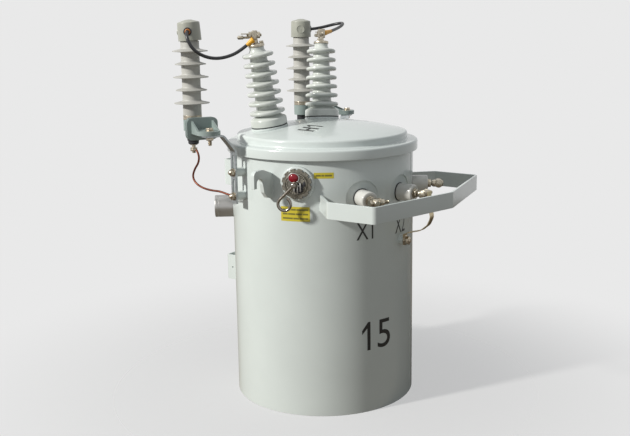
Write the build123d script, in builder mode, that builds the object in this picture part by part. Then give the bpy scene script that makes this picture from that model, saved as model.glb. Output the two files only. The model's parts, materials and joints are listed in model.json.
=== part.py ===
"""Pole mounted distribution transformer, self-protected, with two arresters on the tank.

Millimetres. The origin is the centre of the tank's base, on the floor. +Z is up, -Y is the
low-voltage side, +Y is the pole side, and the lifting lugs stand on the two X sides.
Left pieces are on the -X side and right pieces on the +X side.
"""

import os
from math import asin, atan2, cos, degrees, hypot, pi, radians, sin, sqrt, tan

from build123d import *

os.makedirs("parts", exist_ok=True)

SIDES = {"left": -1, "right": 1}

# ---------------------------------------------------------------- driving dimensions
# Tank
tank_radius = 250.0
tank_height = 701.0
tank_wall = 3.0
tank_flange_width = 7.5
tank_flange_thickness = 4.0
bottom_recess = 10.0
bottom_thickness = 4.0
weld_gap = 0.2
pad_round = 3.0

# Cover
cover_overhang = 12.0
cover_skirt = 27.0
cover_sheet = 3.0
cover_gasket_thickness = 7.0
cover_gasket_width = 6.0
cover_shoulder = 4.5
cover_ledge = 28.0
step_round = 6.0
step_rise = 17.0
crown_slope = 114.0
crown_shoulder_rise = 15.0
crown_rise = 20.0

# High-voltage bushings, one each side, leaning outwards
hv_angle = 34.65
hv_edge_distance = 81.8
hv_tilt = 8.33
hv_seat_rise = 27.2
hv_length = 210.0
hv_flange_radius = 49.0
hv_flange_thickness = 19.0
hv_shed_count = 7
hv_shed_pitch = 25.4
hv_first_shed = 36.0
hv_shed_radius_low = 48.0
hv_shed_radius_high = 41.5
hv_core_radius_low = 28.0
hv_core_radius_high = 23.0
hv_shed_edge = 7.0
hv_shed_under = 6.0
hv_shed_over = 8.5
hv_neck_radius = 19.5
hv_spigot_radius = 24.0
hv_spigot_length = 22.0
hv_gasket_thickness = 3.0
turret_radius = 50.0
spigot_clearance = 1.0

# High-voltage terminals
hv_washer_radius = 22.0
hv_washer_thickness = 6.5
hv_clamp_width = 17.0
hv_clamp_height = 34.0
hv_clamp_depth = 15.0
hv_clamp_bolt_height = 31.0
hv_clamp_bolt_radius = 5.0
hv_clamp_bolt_reach = 24.0
hv_clamp_grip = 3.0
hv_bolt_angle = 125.0
sleeve_radius = 6.5

# Arresters
arrester_angle = 44.69
arrester_standoff = 102.93
arrester_seat_rise = 40.5
arrester_length = 196.0
arrester_core_radius = 24.6
arrester_collar_radius = 22.0
arrester_shed_count = 5
arrester_shed_pitch = 34.2
arrester_first_shed = 32.4
arrester_shed_large = 47.0
arrester_shed_small = 41.5
arrester_cap_radius = 30.5
arrester_cap_height = 55.0
arrester_head = 30.0
cap_port_height = 23.7
cap_port_angle = 34.0
cap_port_radius = 8.5
cap_port_rise = 1.0
ring_height = 11.0
ring_radius = 25.4

# Arrester bracket, moulded, from the arrester's hub to the strap's bolt
bracket_hub_radius = 25.0
bracket_hub_depth = 30.0
barrier_width = 84.0
barrier_height = 58.0
barrier_corner = 14.0
barrier_offset = 66.0
barrier_rib = 3.4
barrier_ribs = 5
barrier_groove = 2.5
bracket_arm_width = 34.0
tab_width = 60.0
tab_reach = 22.0
tab_thickness = 11.0
gusset_height = 22.0
gusset_thickness = 5.0

# Disconnector under each arrester, and its stud
disconnector_radius = 16.5
disconnector_length = 37.0
stud_radius = 5.0
stud_length = 24.0
nut_across_flats = 17.0
nut_height = 8.0

# Strap that holds each arrester bracket, bolted to two bosses on the tank
strap_angle = 158.4
strap_width = 26.0
strap_thickness = 5.0
strap_foot_depth = 141.0
strap_standoff = 26.0
strap_bend_depth = 1.0
strap_rise = 38.5
strap_lean = 34.0
strap_bolt_distance = 95.6
strap_end_margin = 17.0
strap_bend_radius = 14.0
strap_slot_width = 11.0
strap_slot_length = 54.0
strap_slot_below_bolt = 8.0
strap_bolt_depths = (122.0, 59.0)
strap_boss_radius = 12.0
bolt_radius = 5.0
bolt_clearance = 0.5
head_across_flats = 17.0
head_height = 8.5
bolt_tail = 14.0

# Low-voltage bushings
lv_angles = {"x1": -121.43, "x2": -90.0, "x3": -58.57}
lv_depth = 118.0
lv_pad_radius = 46.0
lv_pad_rise = 6.0
lv_bushing_radius = 22.5
lv_bushing_length = 35.0
lv_spigot_radius = 17.0
lv_gasket_radius = 24.5
lv_gasket_thickness = 2.5
lv_stud_radius = 6.0
lv_clamp_distance = 30.0
lv_clamp_length = 26.0
lv_clamp_height = 24.0
lv_clamp_width = 18.0
lv_bolt_reach = 37.0
lv_nut_across_flats = 19.0
lv_nut_height = 9.0
lv_clamp_grip = 4.0

# Neutral strap and its ground bolt
ground_drop = 130.0
ground_boss_radius = 12.5
ground_boss_rise = 12.0
ground_head_across_flats = 22.0
ground_head_height = 16.0
neutral_width = 20.0
neutral_thickness = 2.0

# Guard bar round the low-voltage side
guard_drop = 28.5
guard_bar_height = 42.0
guard_thickness = 6.5
guard_angle = -147.0
guard_shoulder_out = 27.0
guard_shoulder_back = 44.6
guard_corner_out = 25.0
guard_corner_reach = 87.0
guard_nose_reach = 150.0
guard_bend_radius = 9.0

# Lifting lugs
lug_plane = -11.0
lug_thickness = 12.0
lug_length = 75.0
lug_depth = 39.0
lug_height = 80.0
lug_leg = 11.0
lug_leg_length = 45.0
lug_notch_radius = 12.0
lug_notch_depth = 21.0

# Hangers on the pole side
hanger_spacing = 285.75
hanger_depth = 244.3
hanger_height = 74.0
hanger_width = 112.0
hanger_plate = 5.0
hanger_length = 65.0
hanger_slot_width = 17.5
hanger_slot_length = 34.0
hanger_hole_radius = 2.5
hanger_hole_inset = 24.0

# Secondary breaker
breaker_angle = -160.0
breaker_depth = 75.0
breaker_pad_radius = 44.0
breaker_pad_rise = 9.0
breaker_plate_radius = 39.0
breaker_plate_thickness = 5.0
breaker_notches = 12
breaker_notch_width = 7.0
breaker_notch_depth = 3.5
dial_radius = 29.0
dial_height = 8.0
dial_floor = 3.0
lens_radius = 10.4
lens_offset = 18.4
lens_height = 6.0
hub_radius = 7.8
hub_height = 17.0
handle_rod_radius = 3.5
handle_standoff = 25.0
handle_knob_radius = 6.5
handle_shaft_radius = 5.0
shaft_clearance = 0.05
handle_end_clearance = 0.5
eye_centre = (-25.0, -47.5)
eye_mean_radius = 16.5
eye_arc = 288.0

# Tap changer cap
tap_cap_angle = 127.5
tap_cap_depth = 175.0
tap_cap_radius = 30.5
tap_cap_length = 51.0

# Leads: the points of each route after the one where it leaves its terminal
lead_radius = 4.5
ground_lead_radius = 2.8
sleeve_length = 20.0
arrester_leads = {
    "left": [
        (-287.4, 223.6, 1003.9),
        (-296.0, 216.5, 995.5),
        (-299.0, 209.5, 981.0),
        (-291.5, 200.5, 960.0),
        (-270.0, 187.0, 942.0),
        (-240.5, 170.0, 934.0),
        (-211.5, 151.5, 938.5),
        (-188.5, 132.0, 951.0),
        (-173.5, 114.5, 969.5),
    ],
    "right": [
        (292.0, 220.5, 1006.0),
        (312.0, 203.0, 1011.0),
        (330.0, 180.0, 1018.0),
        (333.0, 154.0, 1022.0),
        (316.0, 135.0, 1020.0),
        (290.0, 125.0, 1013.0),
        (258.0, 119.0, 1006.0),
        (224.0, 111.0, 1001.0),
        (199.0, 106.5, 997.5),
        (180.0, 104.2, 995.5),
    ],
}
ground_lead = [
    (-250.9, 239.7, 692.0),
    (-252.5, 229.0, 680.0),
    (-252.5, 231.0, 658.0),
    (-249.5, 250.0, 638.0),
    (-249.0, 259.0, 617.0),
    (-251.0, 247.0, 600.0),
    (-255.0, 219.0, 590.0),
    (-260.0, 183.0, 587.0),
    (-264.5, 149.0, 588.5),
    (-263.5, 127.0, 583.5),
    (-261.1, 113.3, 580.0),
]

# ---------------------------------------------------------------- derived sizes
tank_flange_radius = tank_radius + tank_flange_width
cover_gasket_radius = tank_radius + cover_gasket_width
cover_radius = tank_radius + cover_overhang
step_radius = cover_radius - cover_ledge
crown_radius = step_radius - crown_slope
cover_low = tank_height - cover_skirt + cover_gasket_thickness + cover_sheet
ledge_height = tank_height + cover_gasket_thickness + cover_sheet
step_height = ledge_height + step_rise
hv_radius = step_radius - hv_edge_distance
hv_seat_height = step_height + hv_seat_rise
strap_inner = tank_radius + strap_standoff
strap_low = tank_height - strap_foot_depth
strap_bend_low = tank_height - strap_bend_depth
strap_top = tank_height + strap_rise
strap_bolt_radius = tank_radius + strap_bolt_distance
strap_bolt_heights = [tank_height - depth for depth in strap_bolt_depths]
tab_low = strap_top + strap_thickness
arrester_radius = tank_radius + arrester_standoff
arrester_x = arrester_radius * cos(radians(arrester_angle))
arrester_y = arrester_radius * sin(radians(arrester_angle))
arrester_base = tab_low + arrester_seat_rise
arrester_top = arrester_base + arrester_length
bracket_hub_high = arrester_base - ring_height
bracket_hub_low = bracket_hub_high - bracket_hub_depth
barrier_high = arrester_base
barrier_low = barrier_high - barrier_height
barrier_depth = barrier_rib * barrier_ribs
disconnector_low = bracket_hub_low - disconnector_length
stud_low = disconnector_low - stud_length
lv_height = tank_height - lv_depth
lv_pad_face = tank_radius + lv_pad_rise
lv_bushing_end = lv_pad_face + lv_bushing_length
lv_clamp_centre = lv_bushing_end + lv_clamp_distance
ground_height = lv_height - ground_drop
ground_boss_face = tank_radius + ground_boss_rise
guard_low = lv_height - guard_drop
lug_reach = tank_radius + lug_length
lug_top = tank_height - lug_depth
lug_low = lug_top - lug_height
lug_leg_low = lug_top - lug_leg_length
lug_notch_top = lug_top - lug_notch_depth
hanger_middle = tank_height - hanger_depth
hanger_reach = tank_radius + hanger_length
breaker_height = tank_height - breaker_depth
breaker_pad_face = tank_radius + breaker_pad_rise
breaker_plate_face = breaker_pad_face + breaker_plate_thickness
tap_cap_height = tank_height - tap_cap_depth
tap_cap_end = tank_radius + tap_cap_length


# ---------------------------------------------------------------- planes and helpers
def outward(angle):
    """Unit vector straight out from the tank's axis at an angle from +X."""
    return Vector(cos(radians(angle)), sin(radians(angle)), 0)


def wall_plane(angle, radius, height):
    """Plane that faces outwards: x runs along the wall, y is up."""
    out = outward(angle)
    along = Vector(-out.Y, out.X, 0)
    return Plane(origin=out * radius + Vector(0, 0, height), x_dir=along, z_dir=out)


def radial_plane(angle, height):
    """Upright plane through the tank's axis with its origin on the axis, at a height."""
    out = outward(angle)
    return Plane(origin=(0, 0, height), x_dir=out, z_dir=Vector(out.Y, -out.X, 0))


def side_angle(side, angle_from_x):
    """The angle on the left or right side that mirrors one measured from +X."""
    return angle_from_x if side > 0 else 180 - angle_from_x


def hv_plane(side):
    """Plane through a high-voltage bushing's axis: x is the radius, y runs up the axis."""
    out = outward(side_angle(side, hv_angle))
    lean = radians(hv_tilt)
    across = out * cos(lean) - Vector(0, 0, sin(lean))
    seat = out * hv_radius + Vector(0, 0, hv_seat_height)
    return Plane(origin=seat, x_dir=across, z_dir=Vector(out.Y, -out.X, 0))


def axis_of(plane):
    """The line through a plane's origin along its y direction."""
    return Axis(plane.origin, plane.y_dir)


def cross_plane(plane, height):
    """Plane square to an axis plane's y direction, at a height along it."""
    origin = plane.origin + plane.y_dir * height
    return Plane(origin=origin, x_dir=plane.x_dir, z_dir=plane.y_dir)


def arrester_plane(side):
    """Upright plane through an arrester's axis, with y equal to the height."""
    return Plane(origin=(side * arrester_x, arrester_y, 0), x_dir=(1, 0, 0), z_dir=(0, -1, 0))


def strap_bolt_point(side):
    """Where the bracket's bolt stands on the strap, seen from above."""
    return outward(side_angle(side, 180 - strap_angle)) * strap_bolt_radius


def bracket_plane(side, height):
    """Level plane at an arrester: x points along the bracket to the strap's bolt."""
    origin = Vector(side * arrester_x, arrester_y, 0)
    along = (strap_bolt_point(side) - origin).normalized()
    return Plane(origin=origin + Vector(0, 0, height), x_dir=along, z_dir=(0, 0, 1))


def hexagon_radius(across_flats):
    """Corner radius of a hexagon from its size across the flats."""
    return across_flats / 2 / cos(radians(30))


def tangent_radii(points):
    """Largest tangent arcs for a cord's route: 0.45 of the shorter run at each corner."""
    radii = []
    for before, corner, after in zip(points, points[1:], points[2:]):
        run_in = Vector(*corner) - Vector(*before)
        run_out = Vector(*after) - Vector(*corner)
        half_turn = radians(run_in.get_angle(run_out)) / 2
        radii.append(0.45 * min(run_in.length, run_out.length) / tan(half_turn))
    return radii


def make_lead(name, points, radius):
    """A round cord along straight runs joined by tangent arcs."""
    radii = tangent_radii(points)
    print(name, "bend radii", [round(value) for value in radii])
    with BuildPart() as lead:
        with BuildLine() as route:
            FilletPolyline(*points, radius=radii)
        with BuildSketch(Plane(origin=route.line @ 0, z_dir=route.line % 0)):
            Circle(radius)
        sweep()
    length = sum(edge.length for edge in route.edges())
    ratio = lead.part.volume / (pi * radius**2 * length)
    print(name, "length", round(length), "volume ratio", round(ratio, 3))
    return lead.part


def save(part, name):
    """Label a finished piece and write its STEP file."""
    part.label = name
    export_step(part, f"parts/{name}.step")


# ---------------------------------------------------------------- tank
pad_root = tank_radius - 20
with BuildPart() as tank_shell:
    with BuildSketch():
        Circle(tank_radius)
    extrude(amount=tank_height)
    with BuildSketch(Plane.XY.offset(tank_height - tank_flange_thickness)):
        Circle(tank_flange_radius)
    extrude(amount=tank_flange_thickness)
    pads = [(angle, lv_height, lv_pad_radius, lv_pad_face) for angle in lv_angles.values()]
    pads.append((breaker_angle, breaker_height, breaker_pad_radius, breaker_pad_face))
    for angle, height, radius, face in pads:
        with BuildSketch(wall_plane(angle, pad_root, height)):
            Circle(radius)
        extrude(amount=face - pad_root)
        rims = tank_shell.edges(Select.LAST).filter_by(GeomType.CIRCLE)
        chamfer(rims.filter_by(lambda edge: abs(edge.radius - radius) < 0.01), pad_round)
    with BuildSketch(wall_plane(lv_angles["x2"], pad_root, ground_height)):
        Circle(ground_boss_radius)
    extrude(amount=ground_boss_face - pad_root)
    with BuildSketch():
        Circle(tank_radius - tank_wall)
    extrude(amount=tank_height, mode=Mode.SUBTRACT)
    for angle in lv_angles.values():
        with BuildSketch(wall_plane(angle, pad_root, lv_height)):
            Circle(lv_spigot_radius + spigot_clearance)
        extrude(amount=lv_pad_face - pad_root, mode=Mode.SUBTRACT)
save(tank_shell.part, "tank_shell")

with BuildPart() as tank_bottom:
    with BuildSketch(Plane.XY.offset(bottom_recess)):
        Circle(tank_radius - tank_wall - weld_gap)
    extrude(amount=bottom_thickness)
save(tank_bottom.part, "tank_bottom")

# ---------------------------------------------------------------- cover
with BuildPart() as cover:
    for inset, mode in ((0, Mode.ADD), (cover_sheet, Mode.SUBTRACT)):
        bevel = cover_shoulder - inset * (2 - sqrt(2))
        shoulder = step_round - inset * (2 - sqrt(2))
        with BuildSketch(Plane.XZ):
            Polygon(
                (0, cover_low),
                (cover_radius - inset, cover_low),
                (cover_radius - inset, ledge_height - inset - bevel),
                (cover_radius - inset - bevel, ledge_height - inset),
                (step_radius - inset, ledge_height - inset),
                (step_radius - inset, step_height - inset - shoulder),
                (step_radius - inset - shoulder, step_height - inset),
                (crown_radius, step_height + crown_shoulder_rise - inset),
                (0, step_height + crown_rise - inset),
                align=None,
            )
        revolve(axis=Axis.Z, mode=mode)
        if not inset:
            for side in SIDES.values():
                with BuildSketch(cross_plane(hv_plane(side), -hv_gasket_thickness)):
                    Circle(turret_radius)
                extrude(amount=-turret_radius / 2)
    for side in SIDES.values():
        with BuildSketch(cross_plane(hv_plane(side), 0)):
            Circle(hv_spigot_radius + spigot_clearance)
        extrude(amount=-turret_radius, mode=Mode.SUBTRACT)
save(cover.part, "cover")

with BuildPart() as cover_gasket:
    with BuildSketch(Plane.XY.offset(tank_height)):
        Circle(cover_gasket_radius)
        Circle(tank_radius, mode=Mode.SUBTRACT)
    extrude(amount=cover_gasket_thickness)
save(cover_gasket.part, "cover_gasket")

# ---------------------------------------------------------------- high-voltage bushings
hv_profile = [
    (0, -hv_spigot_length),
    (hv_spigot_radius, -hv_spigot_length),
    (hv_spigot_radius, 0),
    (hv_flange_radius, 0),
    (hv_flange_radius, hv_flange_thickness - 3),
    (hv_flange_radius - 3, hv_flange_thickness),
]
for shed in range(hv_shed_count):
    share = shed / (hv_shed_count - 1)
    height = hv_first_shed + shed * hv_shed_pitch
    core = hv_core_radius_low + share * (hv_core_radius_high - hv_core_radius_low)
    tip = hv_shed_radius_low + share * (hv_shed_radius_high - hv_shed_radius_low)
    hv_profile += [(core, height - hv_shed_under), (tip, height - hv_shed_edge / 2)]
    hv_profile += [(tip, height + hv_shed_edge / 2), (core, height + hv_shed_over)]
hv_profile += [(hv_neck_radius, hv_length - 8), (hv_neck_radius, hv_length), (0, hv_length)]
with BuildPart() as hv_bushings:
    for side in SIDES.values():
        with BuildSketch(hv_plane(side)):
            Polygon(*hv_profile, align=None)
        revolve(axis=axis_of(hv_plane(side)))
save(hv_bushings.part, "hv_bushings")

with BuildPart() as hv_terminals:
    for side in SIDES.values():
        plane = hv_plane(side)
        with BuildSketch(cross_plane(plane, hv_length)):
            Circle(hv_washer_radius)
        extrude(amount=hv_washer_thickness)
        with BuildSketch(cross_plane(plane, hv_length + hv_washer_thickness)):
            RegularPolygon(hexagon_radius(nut_across_flats), 6)
        extrude(amount=nut_height)
        centre = plane.origin + plane.y_dir * (hv_length + hv_clamp_bolt_height)
        along = outward(side_angle(side, 180 - hv_bolt_angle))
        clamp = Plane(origin=centre, x_dir=Vector(-along.Y, along.X, 0), z_dir=along)
        with BuildSketch(clamp.offset(-hv_clamp_depth / 2)):
            RectangleRounded(hv_clamp_width, hv_clamp_height, hv_clamp_width / 3)
        extrude(amount=hv_clamp_depth)
        with BuildSketch(clamp):
            Circle(hv_clamp_bolt_radius)
        extrude(amount=hv_clamp_bolt_reach)
        for start in (-hv_clamp_depth / 2 - nut_height, hv_clamp_depth / 2 + hv_clamp_grip):
            with BuildSketch(clamp.offset(start)):
                RegularPolygon(hexagon_radius(nut_across_flats), 6)
            extrude(amount=nut_height)
save(hv_terminals.part, "hv_terminals")

with BuildPart() as hv_gaskets:
    for side in SIDES.values():
        with BuildSketch(cross_plane(hv_plane(side), -hv_gasket_thickness)):
            Circle(turret_radius - 1.5)
            Circle(hv_spigot_radius + spigot_clearance, mode=Mode.SUBTRACT)
        extrude(amount=hv_gasket_thickness)
save(hv_gaskets.part, "hv_gaskets")

# ---------------------------------------------------------------- arresters
arrester_profile = [(0, arrester_base), (arrester_core_radius, arrester_base)]
for shed in range(arrester_shed_count):
    height = arrester_base + arrester_first_shed + shed * arrester_shed_pitch
    tip = arrester_shed_large if shed % 2 == 0 else arrester_shed_small
    arrester_profile += [(arrester_core_radius, height - 3), (tip, height)]
    arrester_profile += [(arrester_core_radius, height + 6)]
arrester_profile += [
    (arrester_core_radius, arrester_top - 8),
    (arrester_collar_radius, arrester_top - 8),
    (arrester_collar_radius, arrester_top + arrester_head),
    (0, arrester_top + arrester_head),
]
with BuildPart() as arrester_housings:
    for side in SIDES.values():
        with BuildSketch(arrester_plane(side)):
            Polygon(*arrester_profile, align=None)
        revolve(axis=axis_of(arrester_plane(side)))
save(arrester_housings.part, "arrester_housings")

cap_top = arrester_top + arrester_cap_height
with BuildPart() as arrester_caps:
    for side in SIDES.values():
        plane = arrester_plane(side)
        with BuildSketch(plane):
            Polygon(
                (arrester_collar_radius, arrester_top),
                (arrester_cap_radius, arrester_top),
                (arrester_cap_radius, cap_top - 10),
                (arrester_cap_radius - 3, cap_top - 4),
                (arrester_cap_radius - 11, cap_top - 1),
                (0, cap_top),
                (0, arrester_top + arrester_head),
                (arrester_collar_radius, arrester_top + arrester_head),
                align=None,
            )
        revolve(axis=axis_of(plane))
        for port in (-cap_port_angle, 180 + cap_port_angle):
            centre = plane.origin + Vector(0, 0, arrester_top + cap_port_height)
            with BuildSketch(Plane(origin=centre, z_dir=outward(port)).offset(arrester_cap_radius - 6)):
                Circle(cap_port_radius)
            extrude(amount=6 + cap_port_rise)
save(arrester_caps.part, "arrester_caps")

with BuildPart() as arrester_rings:
    with BuildSketch(Plane.XY.offset(arrester_base - ring_height)):
        with Locations(*((side * arrester_x, arrester_y) for side in SIDES.values())):
            Circle(ring_radius)
    extrude(amount=ring_height)
save(arrester_rings.part, "arrester_rings")

# ---------------------------------------------------------------- arrester brackets
barrier_middle = (barrier_low + barrier_high) / 2
tab_root = barrier_offset + barrier_depth
tab_high = tab_low + tab_thickness
with BuildPart() as arrester_brackets:
    for side in SIDES.values():
        level = bracket_plane(side, 0)
        bolt_distance = (strap_bolt_point(side) - level.origin).length
        with BuildSketch(level.offset(bracket_hub_low)):
            Circle(bracket_hub_radius)
        extrude(amount=bracket_hub_high - bracket_hub_low)
        with BuildSketch(level.offset(bracket_hub_low)):
            with Locations((barrier_offset / 2 + 1, 0)):
                Rectangle(barrier_offset + 2, bracket_arm_width)
        extrude(amount=bracket_hub_high - bracket_hub_low - 4)
        barrier_plane = Plane(origin=level.origin, x_dir=level.y_dir, z_dir=level.x_dir)
        for rib in range(barrier_ribs):
            shrink = barrier_groove if rib % 2 else 0
            with BuildSketch(barrier_plane.offset(barrier_offset + rib * barrier_rib)):
                with Locations((0, barrier_middle)):
                    RectangleRounded(
                        barrier_width - 2 * shrink,
                        barrier_high - barrier_low - 2 * shrink,
                        barrier_corner - shrink,
                    )
            extrude(amount=barrier_rib)
        with BuildSketch(level.offset(tab_low)):
            with BuildLine():
                tab_side = Line((tab_root - 1, tab_width / 2), (bolt_distance - 4, tab_width / 2))
                tab_nose = ThreePointArc(
                    tab_side @ 1, (bolt_distance + tab_reach, 0), (bolt_distance - 4, -tab_width / 2)
                )
                Polyline(tab_nose @ 1, (tab_root - 1, -tab_width / 2), tab_side @ 0)
            make_face()
        extrude(amount=tab_thickness)
        for lateral in (-1, 1):
            edge = level.y_dir * (lateral * (tab_width - gusset_thickness) / 2)
            gusset_plane = Plane(origin=level.origin + edge, x_dir=level.x_dir, z_dir=level.y_dir * -1)
            with BuildSketch(gusset_plane):
                Polygon(
                    (tab_root - 1, tab_high - 1),
                    (bolt_distance - 6, tab_high - 1),
                    (tab_root - 1, tab_high + gusset_height),
                    align=None,
                )
            extrude(amount=gusset_thickness / 2, both=True)
        with BuildSketch(level.offset(tab_low - 1)):
            with Locations((bolt_distance, 0)):
                Circle(bolt_radius + bolt_clearance)
        extrude(amount=tab_thickness + 2, mode=Mode.SUBTRACT)
save(arrester_brackets.part, "arrester_brackets")

with BuildPart() as disconnectors:
    with BuildSketch(Plane.XY.offset(disconnector_low)):
        with Locations(*((side * arrester_x, arrester_y) for side in SIDES.values())):
            Circle(disconnector_radius)
    extrude(amount=bracket_hub_low - disconnector_low)
    chamfer(disconnectors.faces().group_by(Axis.Z)[0].edges(), 2)
save(disconnectors.part, "disconnectors")

with BuildPart() as disconnector_studs:
    with BuildSketch(Plane.XY.offset(stud_low)):
        with Locations(*((side * arrester_x, arrester_y) for side in SIDES.values())):
            Circle(stud_radius)
    extrude(amount=disconnector_low - stud_low)
    with BuildSketch(Plane.XY.offset(stud_low + 5)):
        with Locations(*((side * arrester_x, arrester_y) for side in SIDES.values())):
            RegularPolygon(hexagon_radius(nut_across_flats), 6)
    extrude(amount=nut_height)
save(disconnector_studs.part, "disconnector_studs")

# ---------------------------------------------------------------- arrester straps
strap_line = strap_inner + strap_thickness / 2
with BuildPart() as arrester_straps:
    for side in SIDES.values():
        angle = side_angle(side, 180 - strap_angle)
        with BuildSketch(radial_plane(angle, 0)):
            with BuildLine():
                FilletPolyline(
                    (strap_line, strap_low),
                    (strap_line, strap_bend_low),
                    (strap_line + strap_lean, strap_top + strap_thickness / 2),
                    (strap_bolt_radius + strap_end_margin, strap_top + strap_thickness / 2),
                    radius=strap_bend_radius,
                )
            trace(line_width=strap_thickness)
        extrude(amount=strap_width / 2, both=True)
        for height in strap_bolt_heights:
            low = height - strap_slot_below_bolt
            with BuildSketch(wall_plane(angle, strap_inner - 1, low + strap_slot_length / 2)):
                SlotOverall(strap_slot_length, strap_slot_width, rotation=90)
            extrude(amount=strap_thickness + 2, mode=Mode.SUBTRACT)
        with BuildSketch(Plane.XY.offset(strap_top - 1)):
            with Locations(strap_bolt_point(side)):
                Circle(bolt_radius + bolt_clearance)
        extrude(amount=strap_thickness + 2, mode=Mode.SUBTRACT)
save(arrester_straps.part, "arrester_straps")

with BuildPart() as strap_bosses:
    for side in SIDES.values():
        for height in strap_bolt_heights:
            angle = side_angle(side, 180 - strap_angle)
            with BuildSketch(wall_plane(angle, tank_radius - 5, height)):
                Circle(strap_boss_radius)
            extrude(amount=strap_standoff + 5)
    with BuildSketch():
        Circle(tank_radius + weld_gap)
    extrude(amount=tank_height, mode=Mode.SUBTRACT)
save(strap_bosses.part, "strap_bosses")

with BuildPart() as strap_bolts:
    for side in SIDES.values():
        for height in strap_bolt_heights:
            face = wall_plane(side_angle(side, 180 - strap_angle), strap_inner, height)
            with BuildSketch(face):
                Circle(bolt_radius)
            extrude(amount=strap_thickness)
            with BuildSketch(face.offset(strap_thickness)):
                RegularPolygon(hexagon_radius(head_across_flats), 6)
            extrude(amount=head_height)
save(strap_bolts.part, "strap_bolts")

bracket_nut_low = strap_top - nut_height
with BuildPart() as bracket_bolts:
    for side in SIDES.values():
        with BuildSketch(Plane.XY.offset(bracket_nut_low - bolt_tail)):
            with Locations(strap_bolt_point(side)):
                Circle(bolt_radius)
        extrude(amount=tab_high - bracket_nut_low + bolt_tail)
        for low in (bracket_nut_low, tab_high):
            with BuildSketch(Plane.XY.offset(low)):
                with Locations(strap_bolt_point(side)):
                    RegularPolygon(hexagon_radius(head_across_flats), 6)
            extrude(amount=nut_height)
save(bracket_bolts.part, "bracket_bolts")

# ---------------------------------------------------------------- leads
for name, side in SIDES.items():
    port_dir = outward(side_angle(side, -cap_port_angle))
    port = arrester_plane(side).origin + port_dir * (arrester_cap_radius + cap_port_rise)
    start = (port.X, port.Y, arrester_top + cap_port_height)
    route = [start, *arrester_leads[name]]
    save(make_lead(f"arrester_lead_{name}", route, lead_radius), f"arrester_lead_{name}")
save(make_lead("ground_lead_left", ground_lead, ground_lead_radius), "ground_lead_left")

with BuildPart() as lead_sleeves:
    for route in arrester_leads.values():
        heading = Vector(*route[-1]) - Vector(*route[-2])
        with BuildSketch(Plane(origin=route[-1], z_dir=heading)):
            Circle(sleeve_radius)
        extrude(amount=sleeve_length)
save(lead_sleeves.part, "lead_sleeves")

# ---------------------------------------------------------------- low-voltage side
lv_gasket_face = lv_pad_face + lv_gasket_thickness
with BuildPart() as lv_bushings:
    for angle in lv_angles.values():
        with BuildSketch(radial_plane(angle, lv_height)):
            Polygon(
                (tank_radius - 18, 0),
                (tank_radius - 18, lv_spigot_radius),
                (lv_pad_face, lv_spigot_radius),
                (lv_pad_face, lv_gasket_radius),
                (lv_gasket_face, lv_gasket_radius),
                (lv_gasket_face, lv_bushing_radius),
                (lv_bushing_end - 3, lv_bushing_radius),
                (lv_bushing_end, lv_bushing_radius - 3),
                (lv_bushing_end, 0),
                align=None,
            )
        revolve(axis=Axis((0, 0, lv_height), outward(angle)))
save(lv_bushings.part, "lv_bushings")

with BuildPart() as lv_terminals:
    for angle in lv_angles.values():
        face = wall_plane(angle, lv_bushing_end, lv_height)
        with BuildSketch(face):
            Circle(lv_stud_radius)
        extrude(amount=lv_clamp_centre - lv_bushing_end)
        with BuildSketch(face):
            RegularPolygon(hexagon_radius(lv_nut_across_flats), 6)
        extrude(amount=lv_nut_height)
        centre = outward(angle) * lv_clamp_centre + Vector(0, 0, lv_height)
        clamp = Plane(origin=centre, x_dir=face.z_dir, z_dir=face.x_dir * -1)
        with BuildSketch(clamp.offset(-lv_clamp_width / 2)):
            RectangleRounded(lv_clamp_length, lv_clamp_height, 8)
        extrude(amount=lv_clamp_width)
        with BuildSketch(clamp):
            Circle(bolt_radius)
        extrude(amount=-lv_bolt_reach)
        for start in (lv_clamp_width / 2, -lv_clamp_width / 2 - lv_clamp_grip - lv_nut_height):
            with BuildSketch(clamp.offset(start)):
                RegularPolygon(hexagon_radius(lv_nut_across_flats), 6)
            extrude(amount=lv_nut_height)
save(lv_terminals.part, "lv_terminals")

neutral_top = lv_clamp_centre + lv_clamp_length / 2 + neutral_thickness / 2
neutral_foot = ground_boss_face + neutral_thickness / 2
with BuildPart() as neutral_strap:
    with BuildSketch(radial_plane(lv_angles["x2"], 0)):
        with BuildLine():
            FilletPolyline(
                (neutral_top, lv_height + 9),
                (neutral_top, lv_height - 27),
                (neutral_top + 9, ground_height + 72),
                (neutral_top - 1, ground_height + 50),
                (neutral_top - 22, ground_height + 33),
                (neutral_foot + 12, ground_height + 23),
                (neutral_foot, ground_height + 17),
                (neutral_foot, ground_height - 11),
                radius=[30, 22, 20, 30, 8, 5],
            )
        trace(line_width=neutral_thickness)
    extrude(amount=neutral_width / 2, both=True)
save(neutral_strap.part, "neutral_strap")

with BuildPart() as ground_bolt:
    with BuildSketch(wall_plane(lv_angles["x2"], ground_boss_face + neutral_thickness, ground_height)):
        RegularPolygon(hexagon_radius(ground_head_across_flats), 6)
    extrude(amount=ground_head_height)
save(ground_bolt.part, "ground_bolt")

# ---------------------------------------------------------------- guard bar
guard_root = outward(guard_angle) * (tank_radius - 8)
with BuildPart() as guard_bar:
    half = [
        (guard_root.X, guard_root.Y),
        (-tank_radius - guard_shoulder_out, guard_shoulder_back - tank_radius),
        (-tank_radius - guard_corner_out, -tank_radius - guard_corner_reach),
    ]
    other_half = [(-x, y) for x, y in reversed(half)]
    with BuildSketch(Plane.XY.offset(guard_low)):
        with BuildLine():
            FilletPolyline(
                *half,
                (0, -tank_radius - guard_nose_reach),
                *other_half,
                radius=guard_bend_radius,
            )
        trace(line_width=guard_thickness)
        Circle(tank_radius + weld_gap, mode=Mode.SUBTRACT)
    extrude(amount=guard_bar_height)
save(guard_bar.part, "guard_bar")

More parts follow.
